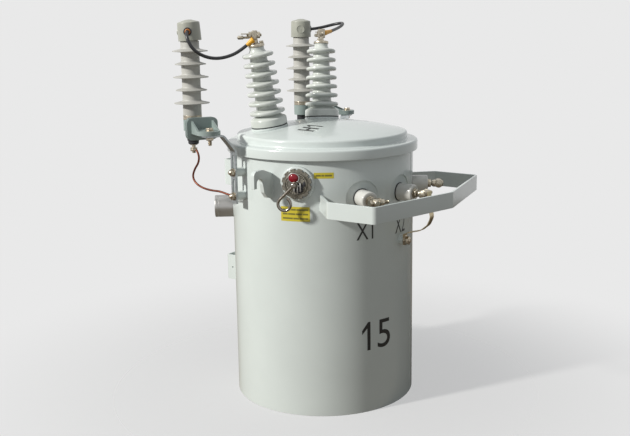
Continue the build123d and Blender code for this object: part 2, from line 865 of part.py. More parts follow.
# ---------------------------------------------------------------- lifting lugs
notch_centre = lug_reach - lug_leg - lug_notch_radius
notch_inner = notch_centre - lug_notch_radius
notch_outer = notch_centre + lug_notch_radius
with BuildPart() as lifting_lugs:
    for side in SIDES.values():
        lug_side = Plane(origin=(0, lug_plane, 0), x_dir=(side, 0, 0), z_dir=(0, -side, 0))
        with BuildSketch(lug_side):
            with BuildLine():
                FilletPolyline(
                    (tank_radius - 8, lug_low),
                    (tank_radius + 22, lug_low + 6),
                    (notch_inner - 5, lug_leg_low - 14),
                    (notch_inner, lug_leg_low + 8),
                    (notch_inner, lug_notch_top),
                    (notch_outer, lug_notch_top),
                    (notch_outer, lug_leg_low),
                    (lug_reach, lug_leg_low),
                    (lug_reach, lug_top),
                    (lug_reach - 38, lug_top),
                    (tank_radius - 8, lug_top - 16),
                    radius=[0, 6, 8, 8, lug_notch_radius - 0.1, lug_notch_radius - 0.1, 0, 0, 14, 12, 0],
                    close=True,
                )
            make_face()
        extrude(amount=lug_thickness / 2, both=True)
    with BuildSketch():
        Circle(tank_radius + weld_gap)
    extrude(amount=tank_height, mode=Mode.SUBTRACT)
save(lifting_lugs.part, "lifting_lugs")

# ---------------------------------------------------------------- hangers
hanger_middles = [hanger_middle + half * hanger_spacing / 2 for half in (-1, 1)]
with BuildPart() as hangers:
    for centre in hanger_middles:
        with BuildSketch(Plane.XY.offset(centre - hanger_height / 2)):
            with BuildLine():
                FilletPolyline(
                    (-(hanger_width - hanger_plate) / 2, tank_radius - 20),
                    (-(hanger_width - hanger_plate) / 2, hanger_reach - hanger_plate / 2),
                    ((hanger_width - hanger_plate) / 2, hanger_reach - hanger_plate / 2),
                    ((hanger_width - hanger_plate) / 2, tank_radius - 20),
                    radius=hanger_plate * 1.6,
                )
            trace(line_width=hanger_plate)
            Circle(tank_radius + weld_gap, mode=Mode.SUBTRACT)
        extrude(amount=hanger_height)
        with BuildSketch(wall_plane(90, hanger_reach - 2 * hanger_plate, centre)):
            SlotOverall(hanger_slot_length, hanger_slot_width, rotation=90)
        extrude(amount=3 * hanger_plate, mode=Mode.SUBTRACT)
        hole = (0, hanger_reach - hanger_hole_inset, centre)
        with BuildSketch(Plane(origin=hole, z_dir=(1, 0, 0))):
            Circle(hanger_hole_radius)
        extrude(amount=hanger_width, both=True, mode=Mode.SUBTRACT)
save(hangers.part, "hangers")

# ---------------------------------------------------------------- secondary breaker
breaker = wall_plane(breaker_angle, 0, breaker_height)
with BuildPart() as breaker_plate:
    with BuildSketch(breaker.offset(breaker_pad_face)):
        Circle(breaker_plate_radius)
        with PolarLocations(breaker_plate_radius, breaker_notches):
            Rectangle(2 * breaker_notch_depth, breaker_notch_width, mode=Mode.SUBTRACT)
    extrude(amount=breaker_plate_thickness)
save(breaker_plate.part, "breaker_plate")

dial_low = breaker_plate_face
with BuildPart() as breaker_dial:
    with BuildSketch(breaker.offset(dial_low)):
        Circle(dial_radius)
    extrude(amount=dial_height)
    with BuildSketch(breaker.offset(dial_low)):
        Circle(hub_radius)
    extrude(amount=hub_height)
    with BuildSketch(breaker.offset(dial_low + dial_floor)):
        Circle(handle_shaft_radius + shaft_clearance)
    extrude(amount=hub_height, mode=Mode.SUBTRACT)
save(breaker_dial.part, "breaker_dial")

lens_low = dial_low + dial_height
lens_centre = breaker.y_dir * lens_offset + Vector(0, 0, breaker_height)
with BuildPart() as signal_lens:
    with BuildSketch(Plane(origin=lens_centre, x_dir=breaker.z_dir, z_dir=breaker.x_dir * -1)):
        Polygon(
            (lens_low, 0),
            (lens_low, lens_radius),
            (lens_low + 0.4 * lens_height, 0.94 * lens_radius),
            (lens_low + 0.8 * lens_height, 0.62 * lens_radius),
            (lens_low + lens_height, 0),
            align=None,
        )
    revolve(axis=Axis(lens_centre, breaker.z_dir))
save(signal_lens.part, "signal_lens")

eye_distance = hypot(*eye_centre)
shank_length = sqrt(eye_distance**2 - eye_mean_radius**2)
shank_angle = degrees(atan2(eye_centre[1], eye_centre[0])) - degrees(asin(eye_mean_radius / eye_distance))
handle_plane = dial_low + handle_standoff
with BuildPart() as breaker_handle:
    with BuildLine(breaker.offset(handle_plane)) as handle_path:
        shank = PolarLine((0, 0), shank_length, shank_angle)
        CenterArc(eye_centre, eye_mean_radius, shank_angle - 90, eye_arc)
    with BuildSketch(Plane(origin=handle_path.line @ 0, z_dir=handle_path.line % 0)):
        Circle(handle_rod_radius)
    sweep()
    shaft_low = dial_low + dial_floor + handle_end_clearance
    with BuildSketch(breaker.offset(shaft_low)):
        Circle(handle_shaft_radius)
    extrude(amount=handle_plane - shaft_low)
    knob_low = dial_low + hub_height + handle_end_clearance
    with BuildSketch(breaker.offset(knob_low)):
        Circle(handle_knob_radius)
    extrude(amount=handle_plane + handle_rod_radius + 1 - knob_low)
save(breaker_handle.part, "breaker_handle")

# ---------------------------------------------------------------- tap changer cap
with BuildPart() as tap_changer_cap:
    with BuildSketch(wall_plane(tap_cap_angle, tank_radius - 8, tap_cap_height)):
        Circle(tap_cap_radius)
    extrude(amount=tap_cap_end - tank_radius + 8)
    chamfer(tap_changer_cap.faces().sort_by(Axis((0, 0, 0), outward(tap_cap_angle)))[-1].edges(), 4)
    with BuildSketch():
        Circle(tank_radius + weld_gap)
    extrude(amount=tank_height, mode=Mode.SUBTRACT)
save(tap_changer_cap.part, "tap_changer_cap")
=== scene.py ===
"""Looks of a pole mounted distribution transformer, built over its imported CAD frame.

Metres in Blender, millimetres in the tables below. The origin is the centre of the tank's
base, +Z is up, -Y is the low-voltage side and +Y is the pole side. A profile is a list of
(radius, height) points, and a third number rounds that corner.
"""

import json
from math import asin, atan2, cos, degrees, hypot, pi, radians, sin, sqrt, tan

import bpy
from mathutils import Matrix, Vector


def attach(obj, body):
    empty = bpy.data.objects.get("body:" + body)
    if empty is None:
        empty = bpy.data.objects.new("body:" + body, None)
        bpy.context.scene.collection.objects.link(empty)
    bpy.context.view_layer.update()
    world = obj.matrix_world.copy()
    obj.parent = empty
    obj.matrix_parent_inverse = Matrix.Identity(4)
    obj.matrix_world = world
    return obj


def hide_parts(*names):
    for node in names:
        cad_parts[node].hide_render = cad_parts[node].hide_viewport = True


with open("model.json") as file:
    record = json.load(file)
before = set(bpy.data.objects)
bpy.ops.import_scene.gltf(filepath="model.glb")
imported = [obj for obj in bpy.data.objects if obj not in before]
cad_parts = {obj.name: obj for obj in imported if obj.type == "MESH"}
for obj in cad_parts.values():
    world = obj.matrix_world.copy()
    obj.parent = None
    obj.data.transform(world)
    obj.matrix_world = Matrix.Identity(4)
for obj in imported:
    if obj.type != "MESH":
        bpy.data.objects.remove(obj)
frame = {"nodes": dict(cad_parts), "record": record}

bl_info = {
    "name": "Pole mounted transformer",
    "version": (1, 0, 0),
    "blender": (4, 5, 0),
    "location": "View3D > Sidebar > Transformer",
    "description": "Models the visible pieces and finishes of a pole mounted transformer",
    "category": "Object",
}

MM = 0.001
BODY = "transformer"
HANDLE = "handle"
SIDES = {"left": -1, "right": 1}
# Edges sharper than this many degrees stay crisp
SHARP = 32
THREAD_PITCH = 1.75

# Sockets of a colour Mix node
MIX_FACTOR = 0
MIX_A = 6
MIX_B = 7
MIX_COLOUR = 2
# Parts of a noise's range over which a finish runs its colour and its roughness
SPREAD = (0.3, 0.7)
SCUFF_SPREAD = (0.35, 0.65)

# ---- cords, in mm
LEAD_ROUTES = {
    "arrester_lead_left": [
        (-277.0, 230.6, 1004.7), (-287.4, 223.6, 1003.9), (-296.0, 216.5, 995.5),
        (-299.0, 209.5, 981.0), (-291.5, 200.5, 960.0), (-270.0, 187.0, 942.0),
        (-240.5, 170.0, 934.0), (-211.5, 151.5, 938.5), (-188.5, 132.0, 951.0),
        (-173.5, 114.5, 969.5),
    ],
    "arrester_lead_right": [
        (277.0, 230.6, 1004.7), (292.0, 220.5, 1006.0), (312.0, 203.0, 1011.0),
        (330.0, 180.0, 1018.0), (333.0, 154.0, 1022.0), (316.0, 135.0, 1020.0),
        (290.0, 125.0, 1013.0), (258.0, 119.0, 1006.0), (224.0, 111.0, 1001.0),
        (199.0, 106.5, 997.5), (180.0, 104.2, 995.5),
    ],
    "ground_lead_left": [
        (-250.9, 239.7, 692.0), (-252.5, 229.0, 680.0), (-252.5, 231.0, 658.0),
        (-249.5, 250.0, 638.0), (-249.0, 259.0, 617.0), (-251.0, 247.0, 600.0),
        (-255.0, 219.0, 590.0), (-260.0, 183.0, 587.0), (-264.5, 149.0, 588.5),
        (-263.5, 127.0, 583.5), (-261.1, 113.3, 580.0),
    ],
}
# Slot, diameter, length, stiffness and lay
LEADS = {
    "arrester_lead_left": ("black_cable", 9.0, 227, "medium", "hanging"),
    "arrester_lead_right": ("black_cable", 9.0, 267, "medium", "hanging"),
    "ground_lead_left": ("bare_copper", 5.6, 243, "medium", "loose"),
}
# Profiles in the direction that a lead ends in, with height 0 at its end
SLEEVES = {
    "arrester_lead_left": [(0, -3), (4.8, -3), (5, 1), (7.4, 15, 1), (7.4, 20, 1), (0, 20)],
    "arrester_lead_right": [(0, -26), (5.3, -26), (5.5, -15), (7.6, 12, 1), (7.6, 20, 1), (0, 20)],
}

# Steps round half of a lead and between its points, and the same for a weld bead
LEAD_FINENESS = (5, 12)
BEAD_FINENESS = (2, 3)
# Length of a weld's ripple, and its trough's part of the full thickness
RIPPLE_LENGTH = 3
RIPPLE_TROUGH = 0.78

# ---- tank and cover, in mm
TANK_RADIUS = 250.0
TANK_HEIGHT = 701.0
SHEET = 3.0
TANK_INSIDE = TANK_RADIUS - SHEET
FLANGE_RADIUS = 257.5
FLANGE_FOOT = TANK_HEIGHT - 4.0
# From THICK_FROM up the wall is thick inside, so that its flats can be cut from it
THICK_INSIDE = 238.0
THICK_FROM = 500.0
THICK_SLOPE = 15.0
SKIRT_RADIUS = 262.0
SKIRT_FOOT = 684.0
LEDGE_HEIGHT = 711.0
STEP_RADIUS = 234.0
STEP_HEIGHT = 731.0
CROWN = ((192, 740.6), (150, 748.4), (110, 754), (75, 757.4), (40, 759.4), (0, 760))
GROUND_ANGLE = -90.0
GROUND_HEIGHT = 453.0
GROUND_BOSS_RADIUS = 12.5
GROUND_BOSS_FACE = 262.0
TAP_ANGLE = 127.5
TAP_HEIGHT = 526.0
TAP_RADIUS = 30.5
SEAM_ANGLE = -73.0
SEAM_SPAN = (3, 696)
LUG_FACES = (-17, -5)
LUG_SPAN = (584, 645)
BAR_END_ANGLES = {"left": -147, "right": -33}
BAR_SPAN = (555.5, 595.5)
HANGER_HEIGHTS = (313.825, 599.575)
HANGER_EDGES = (56.3, 50.7)
HANGER_HALF_HEIGHT = 36
# Half widths of the beads. The lugs' one is a setting
BEADS = {"boss": 1.6, "bar": 2.4, "hanger": 2.0, "ground": 1.5, "tap": 1.4, "seam": 1.2}

# ---- high-voltage side, in mm
HV_ANGLE = 34.65
HV_TILT = 8.33
HV_RADIUS = 152.2
HV_SEAT = 755.2
HV_LENGTH = 210.0
HV_SHEDS = 7
HV_FIRST_SHED = 36.0
HV_SHED_PITCH = 25.4
# Radius at the foot, and how much less it is at the last shed
HV_CORE = (28, 5)
HV_TIP = (48, 6.5)
HV_CLAMP = 241.0
HV_BOLT_ANGLE = 125.0
ARRESTER_X = 250.9
ARRESTER_Y = 248.2
ARRESTER_BASE = 785.0
ARRESTER_CORE = 24.6
ARRESTER_SHEDS = 5
ARRESTER_FIRST_SHED = 32.4
ARRESTER_SHED_PITCH = 34.2
ARRESTER_TIPS = (47, 41.5)
RING_SCREW_HEIGHT = 779.5
RING_SCREW_HEADING = (0.57, -0.82, 0.0)
CAP_LEANS = {"left": -3.5, "right": 0.0}
CAP_LEAN_AXIS = (0.8066, 0.5576, 0.0)
CAP_LEAN_HEIGHT = 1000.0
CAP_PORT_HEIGHT = 1004.7
CAP_PORT_ANGLE = 34.0
KNOCKOUT_TURN = 112.0
STRAP_ANGLE = 158.4
STRAP_FACE = 281.0
STRAP_BOLT_RADIUS = 345.6
STRAP_BOLT_HEIGHTS = {"low": 579.0, "high": 642.0}
STRAP_BOSS_RADIUS = 12

# ---- low-voltage side, in mm
LV_ANGLES = {"x1": -121.43, "x2": -90.0, "x3": -58.57}
LV_HEIGHT = 583.0
LV_FLAT = 244.8
LV_FLAT_RADIUS = 46
LV_FACE = 290.0
LV_CLAMP = 321.0

# ---- breaker, in mm
BREAKER_ANGLE = -160.0
BREAKER_HEIGHT = 626.0
BREAKER_PAD_RADIUS = 44.0
BREAKER_PAD_FACE = 259.0
DIAL_TEETH = 30
DIAL_TOOTH_CIRCLE = 23
# Width across, foot, top and bevel
DIAL_TOOTH = (3.2, 269, 271.4, 0.4)
# Centre of the black disc that is painted as the shade in the dial's hollow
PAINTED_SHADE_PLACE = (7, -9)
# Left, low, right and high edges of the latch levers, and how far out they reach
LEVERS = (
    (-4, -19, -0.4, -8, 278), (4.5, -22.5, 8.1, 0, 278),
    (12, -17, 15.6, 5, 278), (6, -4, 13, -0.5, 277),
)
LENS_PLACE = (-4.5, 16.4)
LENS_FLATNESS = 0.86
LENS_RADIUS = 13
# Where the dome starts and how high it rises
LENS_DOME = (271.6, 6.4)
DOME_STEPS = 8
HANDLE_PLANE = 289.0
HANDLE_ROD = 3.9
EYE_CENTRE = (-25.0, -47.5)
EYE_RADIUS = 16.5
EYE_ARC = 288.0

# ---- marks, in mm
H_OUTLINE = (
    (-17, -27), (-8, -27), (-8, -5), (8, -5), (8, -27), (17, -27),
    (17, 27), (8, 27), (8, 4), (-8, 4), (-8, 27), (-17, 27),
)
ONE_OUTLINE = ((3, -39), (12.5, -39), (12.5, 39), (5, 39), (-12.5, 17), (-12.5, 6), (3, 22))
TERMINAL_MARKS = {"X1": -120.0, "X2": -90.5, "X3": -58.6}
TERMINAL_MARK_LEVEL = 496.5
NUMBER_LEVEL = 211.5
# Angle and width of the two figures
ONE_PLACE = (-119.4, 25)
FIVE_PLACE = (-106.1, 45)
# Outline, place and width of the letter and the figure on the cover
COVER_MARKS = {
    "mark_H": (H_OUTLINE, (-130.5, -45.5, 764), 34),
    "mark_H_one": (ONE_OUTLINE, (-98, -40.5, 766), 20),
}
COVER_MARK_HEIGHT = 49
COVER_MARK_DIRECTION = (1, 0.06, 0)
# Angle, level, width, height and rows of dashes
LABELS = {"small": (-144.75, 646, 50.5, 15, 1), "large": (-162.0, 546, 78, 38, 3)}
LABEL_MARGIN = 4
LABEL_DASHES = ((0.34, 0.2, 0.46), (0.22, 0.3, 0.26, 0.22), (0.42, 0.24, 0.34))
DASH_GAP = 1.6
DASH_HEIGHT = 4.2
# Part of a row's pitch that a dash may take, and that is left over above and below
DASH_SHARE = 0.42
ROW_MARGIN = 0.35
# Cuts that let a flat piece follow the surface under it
MARK_CUTS = 3
COVER_MARK_CUTS = 7
LABEL_CUTS = 12
DASH_CUTS = 4
PAINT_LIFT = 0.25
FILM_LIFT = 0.3
PRINT_LIFT = 0.5
FILM_THICKNESS = 0.12

# ---- stage, in metres
CAMERA_PLACE = (-2.0946, -1.4478, 1.0217)
CAMERA_FORWARD = (0.8066, 0.5576, -0.1962)
CAMERA_ROLL = -0.0129
CAMERA_LENS = 52.86
CAMERA_SENSOR = 36.0
CAMERA_SHIFT = (-0.0129, -0.0153)
KEY_TRAVEL = (0.7586, -0.4178, -0.5)
KEY_TARGET = (0.0, 0.0, 0.55)
KEY_DISTANCE = 16.0
KEY_SIZE = 1.2
OVERHEAD_HEIGHT = 2.6
OVERHEAD_SIZE = 2.0
FLOOR_RADIUS = 3.0
# The floor's shadow fades out between these distances from the tank's axis
FADE_START = 0.35
FADE_END = 1.3
# How clear the floor is at each of them
FLOOR_CLEARNESS = (0.55, 1.0)


# ---- colours and nodes
def hex_colour(code):
    """Linear RGBA from an sRGB code such as #C3C8C4."""
    channels = []
    for at in (1, 3, 5):
        value = int(code[at : at + 2], 16) / 255
        if value <= 0.04045:
            channels.append(value / 12.92)
        else:
            channels.append(((value + 0.055) / 1.055) ** 2.4)
    return (*channels, 1.0)


def linear(colour):
    """Linear RGBA of an sRGB code or of a colour setting."""
    return hex_colour(colour) if isinstance(colour, str) else tuple(colour)


def toned(base, tone):
    """The linear colour of a tone, which is an sRGB code or a factor of the base colour."""
    if isinstance(tone, str):
        return hex_colour(tone)
    return (*(min(1.0, channel * tone) for channel in base[:3]), 1.0)


def add_node(tree, kind, inputs=None, **settings):
    """Add a node, set its properties, and fill its sockets from values or other sockets."""
    node = tree.nodes.new(kind)
    for key, value in settings.items():
        setattr(node, key, value)
    for socket, value in (inputs or {}).items():
        if isinstance(value, bpy.types.NodeSocket):
            tree.links.new(value, node.inputs[socket])
        else:
            node.inputs[socket].default_value = value
    return node


def texture(tree, place, size_mm, kind="ShaderNodeTexNoise", **inputs):
    """First output of a texture whose features are about size_mm across."""
    inputs.update({"Vector": place, "Scale": 1 / (size_mm * MM)})
    return add_node(tree, kind, inputs).outputs[0]


def vary_colour(tree, shader, pattern, low, high, tones):
    """Blend the base colour between two tones where the pattern runs from low to high."""
    reach = {"Value": pattern, "From Min": low, "From Max": high}
    amount = add_node(tree, "ShaderNodeMapRange", reach).outputs["Result"]
    blend = {MIX_FACTOR: amount, MIX_A: tones[0], MIX_B: tones[1]}
    mixed = add_node(tree, "ShaderNodeMix", blend, data_type="RGBA").outputs[MIX_COLOUR]
    tree.links.new(mixed, shader.inputs["Base Color"])


def make_finish(
    name, colour, roughness, metallic=0.0, cloud=(), scuff=(), grain=(), spread=SPREAD, extra=None
):
    """A material with a principled shader and up to three patterns of noise.

    A cloud of (size, detail, tone, tone) blends the colour over the spread, a scuff of (size,
    detail, least, most) varies the roughness, and a grain of (size, strength, depth) raises
    the surface. Sizes and depths are in mm. The extra values are the shader's other sockets.
    """
    material = bpy.data.materials.new(name)
    material.use_nodes = True
    tree = material.node_tree
    shader = tree.nodes["Principled BSDF"]
    base = linear(colour)
    values = {"Base Color": base, "Roughness": roughness, "Metallic": metallic, **(extra or {})}
    for socket, value in values.items():
        shader.inputs[socket].default_value = value
    place = add_node(tree, "ShaderNodeTexCoord").outputs["Object"]
    if cloud:
        size, detail, *tones = cloud
        pattern = texture(tree, place, size, Detail=detail)
        vary_colour(tree, shader, pattern, *spread, [toned(base, tone) for tone in tones])
    if scuff:
        size, detail, least, most = scuff
        pattern = texture(tree, place, size, Detail=detail)
        low, high = SCUFF_SPREAD
        reach = {"Value": pattern, "From Min": low, "From Max": high}
        reach.update({"To Min": least, "To Max": most})
        rough = add_node(tree, "ShaderNodeMapRange", reach).outputs["Result"]
        tree.links.new(rough, shader.inputs["Roughness"])
    if grain:
        size, strength, depth = grain
        pattern = texture(tree, place, size, Detail=2.0)
        relief = {"Height": pattern, "Strength": strength, "Distance": depth * MM}
        bump = add_node(tree, "ShaderNodeBump", relief).outputs["Normal"]
        tree.links.new(bump, shader.inputs["Normal"])
    return tree, shader, place


# ---- settings
def colour_setting(label, about, code):
    """A colour that a user may change."""
    return bpy.props.FloatVectorProperty(
        name=label,
        description=about,
        subtype="COLOR",
        size=4,
        min=0.0,
        max=1.0,
        default=hex_colour(code),
    )


def size_setting(label, about, millimetres):
    """A length that a user may change."""
    return bpy.props.FloatProperty(
        name=label,
        description=about,
        subtype="DISTANCE",
        unit="LENGTH",
        min=0.0,
        precision=4,
        default=millimetres * MM,
    )


def power_setting(label, about, power):
    """A lamp's power that a user may change."""
    return bpy.props.FloatProperty(
        name=label, description=about, unit="POWER", min=0.0, default=power
    )


class TransformerSettings(bpy.types.PropertyGroup):
    """Sizes, colours and light that a user may change."""

    enamel: colour_setting("Enamel", "Sprayed enamel of the tank and cover", "#CAD1CE")
    porcelain: colour_setting("Porcelain", "Glaze of the high-voltage bushings", "#C7CBC5")
    silicone: colour_setting("Silicone", "Rubber of the arrester housings", "#B1B0AA")
    cap: colour_setting("Caps", "Plastic of the arrester caps", "#A0A196")
    bracket: colour_setting("Brackets", "Moulding of the arrester brackets", "#8A9793")
    sleeve: colour_setting("Sleeves", "Sleeves on the ends of the leads", "#E6A92F")
    lens: colour_setting("Lens", "Signal lens of the breaker", "#7A0619")
    label: colour_setting("Labels", "Film of the two labels", "#C2B332")
    edge_softness: size_setting("Edge softness", "Bevel on plate and casting edges", 1.0)
    weld_size: size_setting("Weld size", "Half width of the lug welds", 2.2)
    mark_height: size_setting("Mark height", "Height of the terminal marks", 45.0)
    mark_width: size_setting("Mark width", "Width of the terminal marks", 49.0)
    number_height: size_setting("Number height", "Height of the number on the tank", 78.0)
    key_power: power_setting("Key lamp", "Power of the lamp that gives the shadows", 3040.0)
    overhead_power: power_setting("Overhead lamp", "Power of the wide lamp above", 6.0)
    fill_strength: bpy.props.FloatProperty(
        name="Fill",
        description="Strength of the light from all round",
        subtype="FACTOR",
        min=0.0,
        max=2.0,
        default=0.4,
    )


# ---- finishes
def make_painted_and_glazed(settings):
    """Enamel, glaze, stencil paint and label film."""
    # Sprayed light grey enamel: clear soft highlight, faint orange peel, dusty in patches
    make_finish(
        "sprayed_grey_enamel", settings.enamel, 0.15,
        cloud=(160, 5, 1.02, 0.95),
        spread=(0.3, 0.75),
        scuff=(160, 5, 0.12, 0.2),
        grain=(2.5, 0.12, 0.02),
    )
    # Glazed wet-process porcelain: light grey glass skin with a clear highlight
    make_finish(
        "light_grey_porcelain_glaze", settings.porcelain, 0.16,
        cloud=(30, 3, 1.03, 0.94),
        grain=(8, 0.2, 0.05),
        extra={"Coat Weight": 0.3, "Coat Roughness": 0.05},
    )
    # White glazed porcelain of the low-voltage bushings
    white = (20, 2, "#D1D0CB", "#C7C7C1")
    make_finish("white_porcelain_glaze", "#CECDC8", 0.15, cloud=white, grain=(6, 0.2, 0.04))
    # Black stencil paint of the marks: satin, slightly uneven
    make_finish("black_stencil_paint", "#161817", 0.4, grain=(1.5, 0.2, 0.02))
    # Yellow printed film of the labels, and its dark printing: plain and satin
    make_finish("yellow_label_film", settings.label, 0.35)
    make_finish("dark_label_print", "#716B2D", 0.4)


def make_moulded(settings):
    """Rubber and plastics."""
    # Moulded silicone rubber: pale grey, dull, with a fine mould texture
    make_finish(
        "moulded_silicone_grey", settings.silicone, 0.5,
        cloud=(25, 4, 1.03, 0.93),
        grain=(1.2, 0.2, 0.02),
    )
    # Moulded thermoplastic of the caps: warm grey-green, satin
    make_finish(
        "moulded_cap_plastic", settings.cap, 0.36,
        cloud=(30, 4, 1.04, 0.92),
        grain=(0.9, 0.25, 0.02),
    )
    # Moulded polyester of the brackets: cool grey-green, satin
    make_finish(
        "moulded_bracket_polyester", settings.bracket, 0.42,
        cloud=(35, 4, 1.06, 0.9),
        grain=(1.0, 0.25, 0.02),
    )
    # Black moulded plastic: satin, with a fine grain; also the painted shade on the breaker's dial
    make_finish("moulded_black_plastic", "#26262A", 0.45, grain=(0.8, 0.3, 0.02))
    # Extruded black PVC of the leads: satin, with a faint grain
    make_finish("extruded_black_pvc", "#242528", 0.36, grain=(4, 0.15, 0.03))
    # Heat-shrunk amber sleeve: satin, a little darker in patches
    make_finish("heat_shrunk_amber_sleeve", settings.sleeve, 0.4, cloud=(5, 2, 1.05, 0.85))
    # Moulded orange-brown rubber of the lead grommets: satin
    make_finish("orange_rubber_grommet", "#AD6A2B", 0.5, grain=(1.5, 0.3, 0.03))
    # Rubber gasket: near black, dull
    make_finish("cork_rubber_gasket", "#2C2D2E", 0.7, grain=(1.0, 0.4, 0.05))
    # Red moulded lens: clear acrylic skin over deep red
    skin = {"Specular IOR Level": 0.1, "Coat Weight": 0.6, "Coat Roughness": 0.03}
    make_finish("moulded_red_acrylic", settings.lens, 0.3, extra=skin)


def make_metals():
    """Bare and plated metals."""
    # Hot-dip galvanised steel: dull zinc with spangle patches
    wear = (6, 3, 0.34, 0.5)
    finish = make_finish("hot_dip_galvanised_steel", "#A9ADAF", 0.42, 1.0, scuff=wear)
    tree, shader, place = finish
    spangle = texture(tree, place, 9, "ShaderNodeTexVoronoi")
    tones = (hex_colour("#B4B8B9"), hex_colour("#9CA1A3"))
    vary_colour(tree, shader, spangle, 0.1, 0.8, tones)
    # Passivated zinc plating of the hardware: slightly yellow, bright
    make_finish(
        "passivated_zinc_plate", "#B0AAA0", 0.32, 1.0,
        cloud=(5, 4, "#C4BAA8", "#A2998A"),
        scuff=(3, 3, 0.24, 0.4),
    )
    # Cast bronze with a tin plating: pale yellowish metal with a soft cast skin
    make_finish(
        "tin_plated_cast_bronze", "#B5AE9F", 0.3, 1.0,
        cloud=(7, 4, "#C2BBAC", "#9A9383"),
        scuff=(3, 3, 0.24, 0.42),
        grain=(1.5, 0.3, 0.08),
    )
    # Tin-plated copper strip: warm pale metal
    tones = (12, 3, "#CBBD9F", "#AFA07F")
    make_finish("tin_plated_copper_strip", "#C2B291", 0.34, 1.0, cloud=tones)
    # Bare stranded copper: brown and dull, lightly oxidised
    tones = (6, 4, "#7E4D3E", "#573229")
    make_finish("bare_stranded_copper", "#6A483D", 0.5, 1.0, cloud=tones)
    # Die-cast breaker metal: brownish grey, brushed by handling
    make_finish(
        "die_cast_breaker_metal", "#88857B", 0.36, 1.0,
        cloud=(5, 5, "#9C988D", "#6C6960"),
        scuff=(3, 3, 0.28, 0.46),
        grain=(1.2, 0.3, 0.05),
    )
    # Polished stainless rod of the handle: dark mirror with a few dull patches
    make_finish("polished_steel_rod", "#8B857D", 0.17, 1.0, scuff=(3, 3, 0.14, 0.3))
    # Turned bright steel: even and soft, with faint duller patches
    make_finish("turned_bright_steel", "#B2B1AF", 0.4, 1.0, scuff=(14, 3, 0.37, 0.43))


SLOT_FINISHES = {
    "tank_paint": "sprayed_grey_enamel",
    "gasket_rubber": "cork_rubber_gasket",
    "glazed_porcelain": "light_grey_porcelain_glaze",
    "tinned_bronze": "tin_plated_cast_bronze",
    "grey_polymer": "moulded_silicone_grey",
    "cap_polymer": "moulded_cap_plastic",
    "galvanised_steel": "hot_dip_galvanised_steel",
    "moulded_grey_green": "moulded_bracket_polyester",
    "black_moulding": "moulded_black_plastic",
    "zinc_hardware": "passivated_zinc_plate",
    "black_cable": "extruded_black_pvc",
    "bare_copper": "bare_stranded_copper",
    "amber_sleeve": "heat_shrunk_amber_sleeve",
    "tinned_copper": "tin_plated_copper_strip",
    "breaker_metal": "die_cast_breaker_metal",
    "red_lens": "moulded_red_acrylic",
    "bright_cap": "turned_bright_steel",
}


# ---- modelling helpers
def clear_selection():
    """Leave edit mode and deselect everything."""
    if bpy.context.object and bpy.context.object.mode != "OBJECT":
        bpy.ops.object.mode_set(mode="OBJECT")
    bpy.ops.object.select_all(action="DESELECT")


def pick(*pieces):
    """Select these pieces only, with the first one active."""
    clear_selection()
    for piece in pieces:
        piece.select_set(True)
    bpy.context.view_layer.objects.active = pieces[0]


def named(name):
    """Name the active object and its data."""
    piece = bpy.context.object
    piece.name = name
    piece.data.name = name
    return piece


def linked(name, data, matrix=None):
    """A new object of this data in the scene."""
    piece = bpy.data.objects.new(name, data)
    bpy.context.collection.objects.link(piece)
    if matrix:
        piece.matrix_world = matrix
    return piece


def begin_edit(piece):
    """Open a piece in edit mode with all of it selected."""
    pick(piece)
    bpy.ops.object.mode_set(mode="EDIT")
    bpy.ops.mesh.select_all(action="SELECT")


def end_edit():
    """Close edit mode."""
    bpy.ops.object.mode_set(mode="OBJECT")


def close_mesh():
    """Merge the open mesh's doubles, cap its open ends and point its faces outwards."""
    bpy.ops.mesh.select_all(action="SELECT")
    bpy.ops.mesh.remove_doubles(threshold=0.002 * MM)
    bpy.ops.mesh.fill_holes(sides=0)
    bpy.ops.mesh.select_all(action="SELECT")
    bpy.ops.mesh.normals_make_consistent(inside=False)


def add_modifier(piece, kind, **settings):
    """Add a modifier with its settings, and apply it."""
    modifier = piece.modifiers.new(kind.lower(), kind)
    for key, value in settings.items():
        setattr(modifier, key, value)
    pick(piece)
    bpy.ops.object.modifier_apply(modifier=modifier.name)


def smooth(piece, angle=SHARP):
    """Smooth shading except across edges sharper than the angle."""
    pick(piece)
    bpy.ops.object.shade_smooth_by_angle(angle=radians(angle))
    return piece


def own(piece, slot, *replaced, finish=None, body=BODY):
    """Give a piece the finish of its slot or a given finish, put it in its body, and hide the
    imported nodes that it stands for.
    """
    piece.data.materials.clear()
    piece.data.materials.append(bpy.data.materials[finish or SLOT_FINISHES[slot]])
    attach(piece, body)
    if replaced:
        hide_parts(*replaced)
    return piece


def rounded(points, steps=4):
    """Profile points in mm; a point with a third number becomes an arc of that radius."""
    profile = []
    for at, point in enumerate(points):
        if len(point) == 2 or not point[2]:
            profile.append(tuple(point[:2]))
            continue
        corner = Vector(point[:2])
        sides = [Vector(points[at + way][:2]) - corner for way in (-1, 1)]
        half = sides[0].angle(sides[1]) / 2
        run = min(point[2] / tan(half), 0.49 * min(side.length for side in sides))
        bisector = sides[0].normalized() + sides[1].normalized()
        centre = corner + bisector.normalized() * run / cos(half)
        ends = [corner + side.normalized() * run - centre for side in sides]
        radius = ends[0].length
        for step in range(steps + 1):
            profile.append(tuple(centre + ends[0].slerp(ends[1], step / steps) * radius))
    return profile


